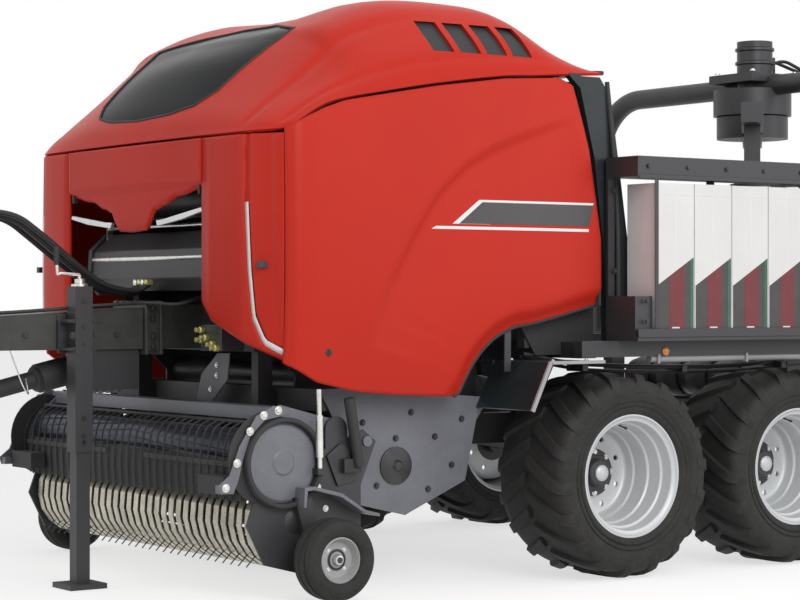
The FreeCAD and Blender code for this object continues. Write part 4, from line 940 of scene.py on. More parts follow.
class BALER_OT_nose(bpy.types.Operator):
    """Nose panel, corner panels, their grooves and bright trims"""
    bl_idname = "baler.nose"
    bl_label = "Nose and corners"

    def execute(self, context):
        fit("corner_skins", "panel_red", (corner_skin, 1), (corner_skin, -1), sheet=14, sharp=50,
            hides=("corner_panels",))
        fit("nose_panel", "panel_red", (nose_skin,), sheet=16, sharp=50, hides=("front_hood",))
        accent = corner_line_places(GROOVE_TRIM, -8)
        fit("groove_accents", "decal_white", (ribbon, accent, 1, 30), (ribbon, accent, -1, 30),
            sheet=2)
        shadow = corner_line_places(tuple((y + 19, z) for y, z in GROOVE), -10)
        fit("groove_shadows", "guard_plastic", (ribbon, shadow, 1, 5), (ribbon, shadow, -1, 5),
            sheet=2)
        fit("lip_trims", "bright_trim", bevel=3, twins=(
            (prism, "YZ", ((226, 1740), (300, 1744), (655, 1788), (666, 1768), (480, 1736),
                           (300, 1718), (238, 1712)), 1936, 1956),))
        fit("panel_stays", "frame_black", bevel=3, twins=(
            *[(block, (1600, 1925), (y, y + 30), (z, z + 30))
              for y, z in ((640, 1500), (1100, 1500), (900, 1980), (640, 1980))],
            *[(block, (1600, 1630), (560, 1130), (z, z + 40)) for z in (1495, 1975)]))
        fit("nose_backing", "guard_plastic", (block, (1930, 1950), (-640, 640), (2092, 2112)),
            bevel=2, twins=((block, (1930, 1958), (632, 648), (1850, 2100)),))
        return {"FINISHED"}


# ------------------------------------------------------------------ wheels
TYRE_SIDE = ((272, 190), (290, 212), (304, 226), (318, 237), (330, 238), (338, 232), (346, 239),
             (356, 241), (362, 236), (372, 243), (390, 246), (410, 248), (432, 247), (450, 241),
             (463, 229), (472, 207), (477, 168), (478, 110), (479, 50))
LUG_PATH = ((4, 474, 0, 25), (60, 474, 0, 26), (120, 474, 0, 26), (168, 472, 1, 27),
            (200, 468, 4, 26), (222, 460, 8, 20), (236, 446, 9, 12), (243, 428, 6, 5),
            (247, 408, 3, 1))


def tyre(shape):
    """Carcass with its sidewall rings, and slanted lugs over each shoulder."""
    lathe(shape, TYRE_SIDE + tuple((r, -a) for r, a in reversed(TYRE_SIDE)), ORIGIN, Y_AXIS, 120,
          closed=True)
    settings = sizes()
    width = settings.lug * 1000
    for edge in (1, -1):
        for k in range(settings.lugs):
            start = math.tau * (k + (0.5 if edge < 0 else 0)) / settings.lugs
            rings = []
            for y, r, dy, dr in LUG_PATH:
                turn = start + math.radians(0.066 * y)
                ring = []
                for out, spread in ((0, 0.66), (1, 0.5), (1, -0.5), (0, -0.66)):
                    radius = r + dr * out
                    angle = turn + spread * width / radius
                    place = Vector((radius * math.sin(angle), edge * (y + dy * out),
                                    radius * math.cos(angle)))
                    ring.append(shape.verts.new(place / 1000))
                rings.append(ring)
            cap_rings(shape, rings)


RIM_RING = ((300, 223), (292, 223), (287, 216), (280, 209), (268, 206), (263, 196), (261, 150),
            (258, 146), (249, 143), (246, 138), (245, 70), (242, 66), (235, 63), (232, 58),
            (231, -20), (228, -26), (222, -30), (219, -36), (218, -66), (212, -80), (200, -88),
            (150, -90), (128, -84), (80, -82), (80, -98), (210, -104), (230, -90), (240, -20),
            (252, 60), (256, 140), (262, -150), (274, -204), (288, -212), (292, -223),
            (300, -223), (301, -212), (286, -204), (278, -190), (272, -150), (272, 150),
            (278, 192), (288, 206), (301, 213))
HUB = ((118, -104), (118, -70), (112, -64), (74, -62), (70, -56), (66, -20), (60, -14), (40, -13))
HUB_CAP = ((40, -16), (40, -4), (34, 2), (20, 6), (8, 7))
HUB_HALF, HUB_CORNER = 84, 58


def hub_plate(shape):
    """Square plate with cut corners behind the wheel nuts."""
    outline = ((-HUB_HALF, -HUB_CORNER), (-HUB_CORNER, -HUB_HALF), (HUB_CORNER, -HUB_HALF),
               (HUB_HALF, -HUB_CORNER), (HUB_HALF, HUB_CORNER), (HUB_CORNER, HUB_HALF),
               (-HUB_CORNER, HUB_HALF), (-HUB_HALF, HUB_CORNER))
    cap_rings(shape, [[shape.verts.new(Vector((x, y, z)) / 1000) for x, z in outline]
                      for y in (-82, -58)])


def wheel_ring(count, radius, along, shift=0.0):
    """Places round a wheel's axle, in metres from the wheel's middle."""
    for k in range(count):
        angle = math.tau * (k + shift) / count
        yield Vector((radius * math.sin(angle), along, radius * math.cos(angle)))


def wheel_places():
    """Tag, side and middle of each road wheel."""
    for tag, side in SIDES:
        for row, step in (("front", 0.0), ("rear", AXLE_STEP)):
            yield "%s_%s" % (row, tag), side, Vector((AXLE - step, side * TRACK, WHEEL_Z))


class BALER_OT_wheels(bpy.types.Operator):
    """Lugged flotation tyres on stepped rims, with hubs, nuts and valves"""
    bl_idname = "baler.wheels"
    bl_label = "Wheels"

    def execute(self, context):
        settings = sizes()
        for tag, side, place in wheel_places():
            spot = {"body": "wheel_" + tag, "at": place, "side": side}
            fit("tyre_lugged_" + tag, "tyre_rubber", (tyre,), hides=("tyre_" + tag,), sharp=35,
                **spot)
            rim = fit("rim_dish_" + tag, "rim_silver",
                      (lathe, RIM_RING, ORIGIN, Y_AXIS, 96, True), hides=("rim_" + tag,),
                      sharp=32, **spot)
            if settings.hand_holes:
                holes = drawn(*[(lathe, ((14, 0), (14, 80)), hole, Y_AXIS, 20)
                                for hole in wheel_ring(settings.hand_holes, 0.172, -0.13, 0.5)])
                carve(rim, move_shape(holes, place, side))
            fit("hub_" + tag, "frame_black", (lathe, HUB, ORIGIN, Y_AXIS, 48), (hub_plate,),
                bevel=2, **spot)
            fit("hub_cap_" + tag, "rim_silver", (lathe, HUB_CAP, ORIGIN, Y_AXIS, 32), **spot)
            fit("wheel_nuts_" + tag, "bright_steel",
                *[(bolt, nut, Y_AXIS, 11) for nut in wheel_ring(settings.nuts, 0.100, -0.066)],
                **spot)
            fit("valve_" + tag, "guard_plastic",
                (bar, Vector((0.0, 0.12, 0.243)), Vector((0.0, 0.165, 0.232)), 4, 10),
                (bar, Vector((0.0, 0.165, 0.232)), Vector((0.0, 0.178, 0.229)), 6, 10), **spot)
        return {"FINISHED"}


GAUGE_TYRE = ((100, -48), (108, -62), (120, -70), (140, -74), (160, -74), (174, -66), (182, -52),
              (185, -46), (181, -42), (181, -36), (187, -33), (188, -14), (184, -10), (184, 10),
              (188, 14), (187, 33), (181, 36), (181, 42), (185, 46), (182, 52), (174, 66),
              (160, 74), (140, 74), (120, 70), (108, 62), (100, 48))
GAUGE_RIM = ((104, 56), (98, 58), (92, 50), (88, 30), (80, 20), (60, 16), (34, 22), (26, 22),
             (26, -22), (60, -16), (88, -30), (98, -58), (104, -56))
GAUGE_RING = ((48, 12), (48, 22), (38, 26), (38, 12))


class BALER_OT_gauge_wheels(bpy.types.Operator):
    """Gauge wheels of the pickup: grooved tyres on light rims"""
    bl_idname = "baler.gauge_wheels"
    bl_label = "Gauge wheels"

    def execute(self, context):
        for tag, side in SIDES:
            body = "gauge_wheel_" + tag
            spot = {"body": body, "at": middle_of(body), "side": side}
            fit("gauge_tyre_" + tag, "tyre_rubber", (lathe, GAUGE_TYRE, ORIGIN, Y_AXIS, 64, True),
                hides=(body,), sharp=30, **spot)
            fit("gauge_rim_" + tag, "light_grey", (lathe, GAUGE_RIM, ORIGIN, Y_AXIS, 56, True),
                sharp=30, **spot)
            fit("gauge_hub_" + tag, "bright_trim",
                (lathe, ((24, 20), (24, 40), (20, 46), (10, 48)), ORIGIN, Y_AXIS, 28),
                *[(bolt, nut, Y_AXIS, 7) for nut in wheel_ring(4, 0.060, 0.016, 0.5)], **spot)
            fit("gauge_ring_" + tag, "guard_plastic",
                (lathe, GAUGE_RING, ORIGIN, Y_AXIS, 40, True), **spot)
        return {"FINISHED"}


# ------------------------------------------------------------------ pickup and intake
DISC = ((182, 0), (182, 10), (170, 16), (60, 20), (50, 26), (20, 27))
DISC_HOUSING = ((184, 0), (184, 44), (190, 50), (202, 50), (206, 44), (206, 0))
FENDER = ((1738, 418), (1732, 508), (1680, 512), (1530, 474), (1400, 392), (1322, 372),
          (1322, 358), (1404, 376), (1536, 458), (1682, 496), (1716, 492), (1724, 418))
ARM_PLATE = ((1788, 862), (1850, 880), (1942, 836), (2030, 704), (2082, 575), (2140, 530),
             (2128, 494), (2062, 492), (2034, 556), (2013, 640), (1976, 742), (1900, 814),
             (1796, 834))


def disc_cover(shape):
    """Crescent plate round the front of the left disc, wider at its middle."""
    outer, inner = [], []
    for k in range(25):
        turn = math.radians(-58 + 150 * k / 24)
        reach = 200 + 82 * math.sin(math.pi * k / 24) ** 0.6
        outer.append((1800 + reach * math.cos(turn), 620 + reach * math.sin(turn)))
        inner.append((1800 + 190 * math.cos(turn), 620 + 190 * math.sin(turn)))
    prism(shape, "XZ", outer + inner[::-1], 1113, 1119)


def roller_ribs(shape):
    """Ribs that wind outwards along the crop roller from its middle."""
    low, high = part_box("crop_roller")
    middle = (low + high) / 2
    radius = (high.z - low.z) / 2
    for k in range(sizes().ribs):
        rows = []
        for i in range(41):
            y = -1.03 + 2.06 * i / 40
            turn = math.tau * k / sizes().ribs + 0.9 * abs(y)
            row = []
            for lift, lean in ((-0.004, -0.05), (0.007, -0.04), (0.007, 0.04), (-0.004, 0.05)):
                row.append(shape.verts.new(middle + Vector((
                    (radius + lift) * math.sin(turn + lean), y,
                    (radius + lift) * math.cos(turn + lean)))))
            rows.append(row + row[:1])
        stitch(shape, rows)


class BALER_OT_pickup(bpy.types.Operator):
    """Side discs, bolts, crop guard, roller ribs and rods of the pickup, and a dark plate of painted
    shade before the reel
    """
    bl_idname = "baler.pickup"
    bl_label = "Pickup"

    def execute(self, context):
        fit("pickup_side_discs", "plate_grey", body="pickup", sharp=20, twins=(
            (lathe, DISC, mm(1800, 1112, 620), Y_AXIS, 64),))
        fit("pickup_disc_housings", "guard_plastic", body="pickup", bevel=2, twins=(
            (lathe, DISC_HOUSING, mm(1800, 1110, 620), Y_AXIS, 64, True),
            (disc_cover,),
            (bar, mm(1455, 1150, 905), mm(1400, 1150, 590), 26, 16),
            (block, (1385, 1480), (1112, 1150), (560, 625))))
        fit("pickup_rods_and_bolts", "bright_steel", body="pickup", twins=(
            (bar, mm(1622, 1162, 560), mm(1628, 1162, 950), 12, 16),
            (bar, mm(1623, 1162, 640), mm(1626, 1162, 830), 18, 16),
            (bolts, Y_AXIS, 10, (1690, 1112, 470), (1600, 1112, 500), (1500, 1112, 560),
             (1440, 1112, 640), (1560, 1112, 400))))
        fit("pickup_gussets", "dark_steel", body="pickup", bevel=2, twins=(
            (prism, "XZ", ((1500, 500), (1560, 640), (1480, 700), (1400, 640), (1390, 520)),
             1113, 1125),
            (block, (1608, 1642), (1112, 1176), (560, 590))))
        fit("gauge_wheel_fenders", "plate_grey", body="pickup", bevel=2,
            twins=((prism, "XZ", FENDER, 1113, 1208),))
        fit("crop_arm_plates", "plate_grey", body="crop_arms", bevel=2, twins=(
            (prism, "XZ", ARM_PLATE, 1126, 1134),
            (block, (1796, 1836), (1084, 1127), (846, 872)),
            (block, (2092, 2128), (1084, 1127), (496, 532))))
        fit("crop_arm_bolts", "bright_steel", body="crop_arms", twins=(
            (bolts, Y_AXIS, 13, (1978, 1134, 768), (2046, 1134, 628), (1906, 1134, 838),
             (2104, 1134, 520), (1830, 1134, 858)),))
        fit("crop_roller_ribs", "roller_steel", (roller_ribs,), body="crop_roller")
        hub = middle_of("pickup_reel")
        fit("reel_bearings", "dark_steel", body="pickup", twins=(
            (lathe, ((60, 0), (60, 14), (40, 22), (18, 24)), Vector((hub.x, 1.098, hub.z)),
             Y_AXIS, 32),))
        fit("crop_guard_fingers", "guard_plastic",
            *[(pipe, [mm(1905, y, 800), mm(1968, y, 772), mm(1998, y, 690), mm(2006, y, 560),
                      mm(1998, y, 448)], 4.5, 6, 0.4) for y in range(-1015, 1016, 70)],
            *[(block, (1740, 1912), (y - 5, y + 5), (784, 806)) for y in (-1060, -350, 350, 1060)],
            (bar, mm(1905, -1066, 800), mm(1905, 1066, 800), 9, 10), body="crop_arms")
        # Dark plate and blocks before the reel's upper part: painted shade where the crop guard's
        # fingers shade the reel.
        fit("reel_painted_shade_plate", "guard_plastic",
            (prism, "XZ", ((1986, 640), (1992, 640), (1998, 560), (1990, 452), (1984, 452),
                           (1992, 560)), -1078, 1078), body="crop_arms", bevel=2, twins=(
                (block, (2008, 2088), (860, 1084), (482, 566)),
                (block, (1984, 2004), (190, 1084), (600, 626))))
        fit("crop_beam_cap", "light_grey", (block, (1746, 1836), (-1060, 1060), (812, 818)),
            (bolts, Z_AXIS, 9, *[(1790, y, 818) for y in range(-900, 901, 450)]),
            body="crop_arms", bevel=1)
        return {"FINISHED"}


HOSE_END = ((17, 0), (17, 20), (14, 24), (14, 60), (18, 62), (18, 90), (12, 94))


class BALER_OT_intake(bpy.types.Operator):
    """Net roll housing, hose stand, hoses and fittings seen through the open front"""
    bl_idname = "baler.intake"
    bl_label = "Open front"

    def execute(self, context):
        fit("net_housing", "frame_black",
            (prism, "XZ", ((1624, 1420), (1840, 1400), (1890, 1460), (1880, 1600), (1780, 1690),
                           (1624, 1700)), -590, 590),
            *[(prism, "XZ", ((1620, 1400), (1850, 1380), (1905, 1455), (1895, 1610),
                             (1785, 1710), (1620, 1715)), y, y + 32) for y in (-592, 560)],
            *[(block, (1560, 1640), (y - 30, y + 30), (1440, 1500)) for y in (-400, 0, 400)],
            bevel=6)
        fit("net_bars", "bright_steel", (bar, mm(1880, -560, 1560), mm(1880, 560, 1560), 12, 14),
            (bar, mm(1800, -560, 1720), mm(1800, 560, 1720), 9, 14),
            twins=((block, (1785, 1815), (534, 546), (1660, 1725)),))
        fit("intake_bars", "plate_grey",
            *[(bar, mm(1640, -600, z), mm(1640, 600, z), 7, 8) for z in range(1770, 2023, 42)],
            twins=((block, (1620, 1660), (588, 612), (1700, 2060)),))
        fit("net_roll", "dark_steel", (bar, mm(1600, -560, 1880), mm(1600, 560, 1880), 120, 32))
        fit("hose_stand", "frame_black", (block, (2690, 2790), (-90, 90), (1268, 1282)),
            (bar, mm(2740, 0, 1280), mm(2740, 0, 1730), 20, 16),
            (block, (2725, 2755), (-90, 90), (1720, 1740)),
            *[(block, (2728, 2752), (y - 4, y + 4), (1738, 1776)) for y in range(-76, 77, 38)],
            (block, (3300, 3350), (-100, 100), (1266, 1290)),
            (block, (3290, 3300), (-90, 90), (1268, 1360)), bevel=3)
        for k, y in enumerate((-57, -19, 19, 57)):
            lift = 16 * (k % 2)
            route = [mm(1888, y, 1440), mm(1960, y, 1380 + lift), mm(2137, y, 1404 + lift),
                     mm(2298, y * 1.1, 1512 + lift), mm(2446, y * 1.2, 1628 + lift),
                     mm(2600, y * 1.1, 1738 + lift), mm(2740, y, 1758 + lift),
                     mm(3060, y, 1716 + lift), mm(3330, y, 1580 + lift), mm(3330, y, 1370)]
            fit("hydraulic_hose_%d" % k, "hose_rubber", (pipe, route, sizes().hose * 1000, 14))
            fit("hose_end_%d" % k, "yellow_zinc" if k % 2 else "bright_steel",
                (lathe, HOSE_END, mm(3330, y, 1380), -Z_AXIS, 18),
                (lathe, ((18, 0), (18, 34), (14, 36)), mm(1884, y, 1440), X_AXIS, 6))
        fit("intake_hoses", "hose_rubber",
            (pipe, [mm(1700, 330, 1400), mm(1860, 300, 1330), mm(1960, 180, 1345),
                    mm(2240, 170, 1330), mm(2600, 120, 1300), mm(3000, 110, 1285)], 9, 10))
        fit("valve_fittings", "yellow_zinc",
            *[(lathe, ((17, 0), (17, 22), (12, 24), (12, 46)), mm(1906, y, z), X_AXIS, 6)
              for y, z in ((600, 1216), (640, 1180), (700, 1150), (735, 1134), (600, 1170))],
            bevel=1)
        fit("valve_block", "dark_steel", (block, (1780, 1906), (570, 760), (1118, 1240)),
            (block, (1560, 1782), (620, 690), (1150, 1200)), bevel=4)
        fit("intake_side_plate", "plate_grey",
            (prism, "YZ", ((15, 859), (65, 990), (221, 1097), (336, 1099), (317, 967),
                           (163, 855)), 1600, 1610), bevel=3)
        fit("intake_bolts", "bright_steel",
            (bolts, X_AXIS, 9, (1610, 216, 1037), (1610, 216, 987), (1610, 156, 917)))
        return {"FINISHED"}


SHAFT_SLOPE = math.radians(13)
FOLD_STEP, FOLD_DEPTH = 22, 10
CHAIN_LINKS = 14


def bellows(crests, base):
    """Profile of a folded boot: each crest's radius, with a valley behind it."""
    profile = []
    for k, crest in enumerate(crests):
        along = base + k * FOLD_STEP
        profile += [(crest, along), (crest - FOLD_DEPTH, along + FOLD_STEP / 2)]
    return profile


def chain(shape):
    """Links that hang between the drawbar's eye and its flank, each turned from the last."""
    for k in range(CHAIN_LINKS):
        share = k / (CHAIN_LINKS - 1)
        middle = mm(3520 - 520 * share, 168,
                    1010 + 90 * share - 150 * math.sin(math.pi * share))
        spin = Vector((math.cos(k * math.pi / 2), math.sin(k * math.pi / 2), 0.2))
        ring = []
        for i in range(11):
            a = math.tau * i / 10
            ring.append(middle + Vector((-0.019 * math.cos(a), 0.008 * math.sin(a) * spin.y,
                                         0.010 * math.sin(a) * (1 + spin.x) / 2)))
        pipe(shape, ring, 3.2, 6, 0.3)


class BALER_OT_drawbar(bpy.types.Operator):
    """Collar, brackets, jack handle, chain, shaft guard and eye of the drawbar"""
    bl_idname = "baler.drawbar"
    bl_label = "Drawbar and jack"

    def execute(self, context):
        fit("drawbar_collar", "beam_grey",
            *[(prism, "YZ", ((-168, 1092), (168, 1092), (168, 1352), (-168, 1352)), x, x + 18)
              for x in (1880, 1960)], bevel=4,
            twins=((block, (1880, 1978), (141, 152), (1110, 1336)),))
        fit("drawbar_bolts", "dark_steel",
            (bolts, X_AXIS, 8, *[(1978, y, 1344) for y in (-120, -60, 60, 120)]), twins=(
                (bolts, Y_AXIS, 13, *[(1929, 152, z) for z in (1130, 1180, 1265, 1315)]),
                (bolts, Y_AXIS, 11, *[(x, 140, 1190) for x in (2120, 2600, 2900)])))
        fit("eye_plates", "beam_grey", (block, (3560, 3620), (-62, 62), (895, 1040)), bevel=3,
            twins=((prism, "XZ", ((3420, 960), (3640, 900), (3640, 1010), (3440, 1100)),
                    141, 150),))
        fit("eye_bolts", "bright_steel", twins=(
            (bolts, Y_AXIS, 13, (3470, 150, 1050), (3600, 150, 940), (3600, 150, 985)),))
        fit("safety_chain", "bright_steel", (chain,),
            (bolts, Y_AXIS, 12, (3520, 150, 1010), (3000, 140, 1100)))
        low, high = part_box("jack_tube")
        head = Vector(((low.x + high.x) / 2, 0.205, high.z))
        handle = [head + Vector(step) for step in (
            (0, 0, 0.03), (0, 0, 0.055), (0.10, 0, 0.06), (0.115, 0, 0.055), (0.12, 0, 0.14))]
        fit("jack_crank", "bright_steel",
            (lathe, ((40, 0), (40, 10), (24, 16), (24, 34), (16, 38)), head, Z_AXIS, 24),
            (pipe, handle, 8, 10, 0.3))
        fit("jack_grip", "guard_plastic", (lathe, ((12, 0), (14, 20), (13, 80), (10, 86)),
                                           head + Vector((0.12, 0, 0.10)), Z_AXIS, 16))
        fit("jack_pins", "dark_steel",
            (bolts, Y_AXIS, 9, *[(2350, 250, z) for z in (720, 800, 1150, 1230, 1350)]),
            (bar, mm(2350, 150, 690), mm(2350, 275, 690), 8, 12),
            (bolts, Y_AXIS, 11, (2290, 250, 1190), (2410, 250, 1190)))
        ears = [(block, (x, x + 32), (150, 251), (z, z + 12))
                for z in (1120, 1250) for x in (2270, 2398)]
        ears += [(block, (x, x + 13), (150, 255), (z - 4, z + 16))
                 for z in (1120, 1250) for x in (2290, 2397)]
        fit("jack_bracket", "beam_grey", (block, (2262, 2438), (141, 150), (1105, 1290)), *ears,
            bevel=3)
        axis = Vector((math.cos(SHAFT_SLOPE), 0, -math.sin(SHAFT_SLOPE)))
        start = mm(2305, 0, 1020) + axis * 0.01
        fit("shaft_bellows", "guard_plastic",
            (lathe, bellows([74 - k * 1.6 for k in range(9)], 0), start, axis, 40),
            (lathe, bellows([74 - (8 - k) * 1.6 for k in range(9)], 1020), start, axis, 40),
            sharp=60)
        fit("shaft_guard_chain", "bright_steel",
            (pipe, [mm(2560, 60, 985), mm(2570, 120, 900), mm(2620, 150, 960),
                    mm(2680, 142, 1120)], 3.5, 8))
        low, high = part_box("gearbox")
        fins = [Vector((low.x + (high.x - low.x) * (0.2 + 0.13 * k), 0, (low.z + high.z) / 2))
                for k in range(5)]
        fit("gearbox_fins", "dark_steel",
            *[(lathe, ((118, 0), (118, 6), (112, 8)), fin, X_AXIS, 32) for fin in fins])
        return {"FINISHED"}


# ------------------------------------------------------------------ chassis, racks, wrapper
class BALER_OT_chassis(bpy.types.Operator):
    """Shield edges, side plate fittings, rail tube, brackets and hoses along the chassis"""
    bl_idname = "baler.chassis"
    bl_label = "Chassis"

    def execute(self, context):
        fit("shield_edges", "light_grey", bevel=1, twins=(
            (prism, "XZ", ((500, 1066), (166, 1066), (166, 1050), (496, 1050)), 1432, 1446),
            (prism, "XZ", ((600, 826), (618, 834), (506, 1066), (490, 1056)), 1432, 1446)))
        fit("shield_bolts", "bright_steel", twins=(
            (bolts, Z_AXIS, 9, *[(x, y, 1064) for x in (230, 440) for y in (1060, 1380)]),))
        fit("side_plate_fittings", "dark_steel", twins=(
            (bolts, Y_AXIS, 11, (700, 1001, 780), (760, 1001, 560), (900, 1001, 450),
             (1000, 1001, 820), (1200, 1001, 480), (1090, 1001, 700), (860, 1001, 700),
             (1280, 1001, 780)),
            (lathe, ((90, 0), (90, 8), (70, 14), (30, 18), (18, 30), (10, 30)),
             mm(1090, 1000, 570), Y_AXIS, 40)))
        fit("rail_tube", "light_grey", twins=(
            (bar, mm(-250, 1290, 1062), mm(-1500, 1290, 1062), 18, 16),
            *[(block, (x, x + 14), (1262, 1318), (1040, 1084)) for x in (-300, -900, -1450)]))
        fit("chassis_hoses", "hose_rubber", twins=(
            (pipe, [mm(380, 1075, 1090), mm(100, 1110, 1040), mm(-300, 1150, 1020),
                    mm(-900, 1150, 1010), mm(-1600, 1100, 1050), mm(-2080, 1340, 1120)], 11, 8),
            (pipe, [mm(380, 1045, 1075), mm(60, 1080, 1010), mm(-400, 1120, 990),
                    mm(-1000, 1120, 985), mm(-1700, 1080, 1020), mm(-2080, 1310, 1110)], 9, 8)))
        fit("hose_clips", "frame_black", bevel=3, twins=[
            (block, (x - 18, x + 18), (1040, 1170), (z - 8, z + 30))
            for x, z in ((60, 1010), (-600, 995), (-1300, 1005))])
        fit("inner_wall_plates", "guard_plastic", bevel=2, twins=(
            (prism, "XZ", ((-40, 1085), (330, 1085), (430, 1240), (430, 1420), (-40, 1420)),
             1100, 1110),
            (prism, "XZ", ((-40, 2150), (150, 2150), (300, 2370), (300, 2432), (-20, 2440)),
             1110, 1120),
            *[(block, (x, x + 30), (1040, 1100), (1120, 1400)) for x in (20, 360)]))
        fit("bogie_hub_seals", "dark_steel", twins=(
            (bar, mm(-120, 1010, 760), mm(-400, 1010, 700), 30, 16),
            *[(lathe, ((70, 0), (70, 26), (50, 34)), mm(x, 1075, 500), Y_AXIS, 32)
              for x in (0, -1120)]))
        fit("rail_bolts", "bright_steel", twins=(
            (bolts, Y_AXIS, 10, *[(x, 1251, 1115) for x in (-200, -500, -900, -1300)]),))
        return {"FINISHED"}


CARTONS, CARTON_STEP = 5, 253


def print_outline(front, foot, left, right):
    """Slanted field of print on a carton between two distances back from its front."""
    def edge(back):
        """Height of the field's slanted top."""
        return foot + 238 + 140 * (back - 5) / 239
    return ((front - left, foot), (front - right, foot), (front - right, edge(right)),
            (front - left, edge(left)))


class BALER_OT_racks(bpy.types.Operator):
    """Film cartons' print, flaps and tape, and the racks' straps and bolts"""
    bl_idname = "baler.racks"
    bl_label = "Film racks"

    def execute(self, context):
        for tag, side in SIDES:
            low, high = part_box("film_cartons_" + tag)
            outer = max(abs(low.y), abs(high.y)) * 1000
            floor, top = low.z * 1000, high.z * 1000
            fronts = [(high.x - AXLE) * 1000 - CARTON_STEP * k for k in range(CARTONS)]
            for lift, (finish, left, right) in enumerate((
                    ("print_grey", 5, 244), ("print_red", 84, 181), ("print_green", 221, 240))):
                shape = bmesh.new()
                for front in fronts:
                    prism(shape, "XZ", print_outline(front, floor + 4, left, right),
                          side * (outer - 0.5), side * (outer + 0.6 + 0.5 * lift))
                piece("carton_%s_%s" % (finish, tag), shape, finish)
            fit("carton_labels_" + tag, "carton_board",
                *[(block, (a - 150, a - 100), (side * (outer - 3), side * (outer + 2.4)),
                   (floor + 14, floor + 38)) for a in fronts])
            fit("carton_seams_" + tag, "film_wrap",
                *[(block, (a - 128, a - 120), (side * (outer - 0.5), side * (outer + 0.5)),
                   (floor + 8, top - 6)) for a in fronts],
                *[(block, (a - 240, a - 8), (side * (outer - 3), side * (outer + 0.8)),
                   (top - 60, top - 58)) for a in fronts])
        fit("rack_bolts", "dark_steel", twins=(
            (bolts, Y_AXIS, 10, *[(x, 1455, 2010) for x in range(-1400, -80, 260)]),
            (bolts, Y_AXIS, 9, (-90, 1455, 1250), (-90, 1455, 1350))))
        fit("rack_straps", "frame_black", bevel=3, twins=(
            (block, (-1455, -32), (1446, 1462), (1172, 1216)),
            (block, (-1455, -40), (1450, 1459), (1950, 1972)),
            *[(block, (x - 12, x + 12), (1452, 1458), (1216, 1954)) for x in (-154, -1430)]))
        return {"FINISHED"}


ROTOR_X = -2200
DISPENSER_REACH = 1.035
PARK_TURN = math.radians(46)
FLANGE_RADIUS, BAND_RADIUS = 122, 111.5
BELTS, BELT_STEP, BELT_HALF = 5, 0.25, 0.085


def dispenser_places():
    """Middle of each film roll: on the arms, at the turn in which the rolls park."""
    low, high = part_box("film_rolls")
    arm = Vector((math.cos(PARK_TURN), math.sin(PARK_TURN), 0)) * DISPENSER_REACH
    films = [Vector((ax(ROTOR_X), 0, 0)) + arm * end for end in (1, -1)]
    middle = (low + high) / 2
    size = high - low
    gap = films[0] - Vector((middle.x, middle.y, 0))
    if gap.dot(Vector((size.x, -size.y, 0))) > 0.5:
        films = [Vector((film.x, -film.y, 0)) for film in films]
    return films, low.z, size.z


def dispenser(film, bottom, height, plates, cores, rubber):
    """Plates, cores and stretch rollers of one film dispenser."""
    out = Vector((film.x - ax(ROTOR_X), film.y, 0)).normalized()
    aside = Vector((-out.y, out.x, 0))

    def at(spot, z):
        """A place in plan, at a height."""
        return Vector((spot.x, spot.y, z))
    for z in (bottom - 0.014, bottom + height + 0.002):
        lathe(plates, ((FLANGE_RADIUS, 0), (FLANGE_RADIUS, 12), (60, 15)), at(film, z), Z_AXIS, 32)
    lathe(cores, ((40, 0), (40, 60), (30, 66)), at(film, bottom + height), Z_AXIS, 24)
    for gap, radius in ((0.175, 40), (0.265, 34)):
        spot = film - out * 0.02 + aside * gap
        lathe(rubber, ((radius, 0), (radius, height * 1000 - 40)), at(spot, bottom + 0.02),
              Z_AXIS, 28)
        lathe(cores, ((16, 0), (16, height * 1000 + 10)), at(spot, bottom - 0.005), Z_AXIS, 14)
    near, far = film + aside * 0.10, film + aside * 0.31
    corners = near - out * 0.07, far - out * 0.07, far + out * 0.04, near + out * 0.04
    for z in (bottom - 0.02, bottom + height - 0.002):
        cap_rings(plates, [[plates.verts.new(at(corner, z + lift)) for corner in corners]
                           for lift in (0, 0.014)])


def table_belt(shape, y):
    """Belt round both table rollers, about a reach from the middle plane."""
    front, rear = middle_of("table_roller_front"), middle_of("table_roller_rear")
    low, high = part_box("table_roller_front")
    reach = (high.z - low.z) / 2 + 0.006
    turns = [math.pi * i / 16 for i in range(17)]
    ring = [(front.x + reach * math.sin(t), front.z + reach * math.cos(t)) for t in turns]
    ring += [(rear.x - reach * math.sin(t), rear.z - reach * math.cos(t)) for t in turns]
    rows = [[shape.verts.new(Vector((x, y + w, z))) for x, z in ring]
            for w in (-BELT_HALF, BELT_HALF)]
    stitch(shape, [row + row[:1] for row in rows])


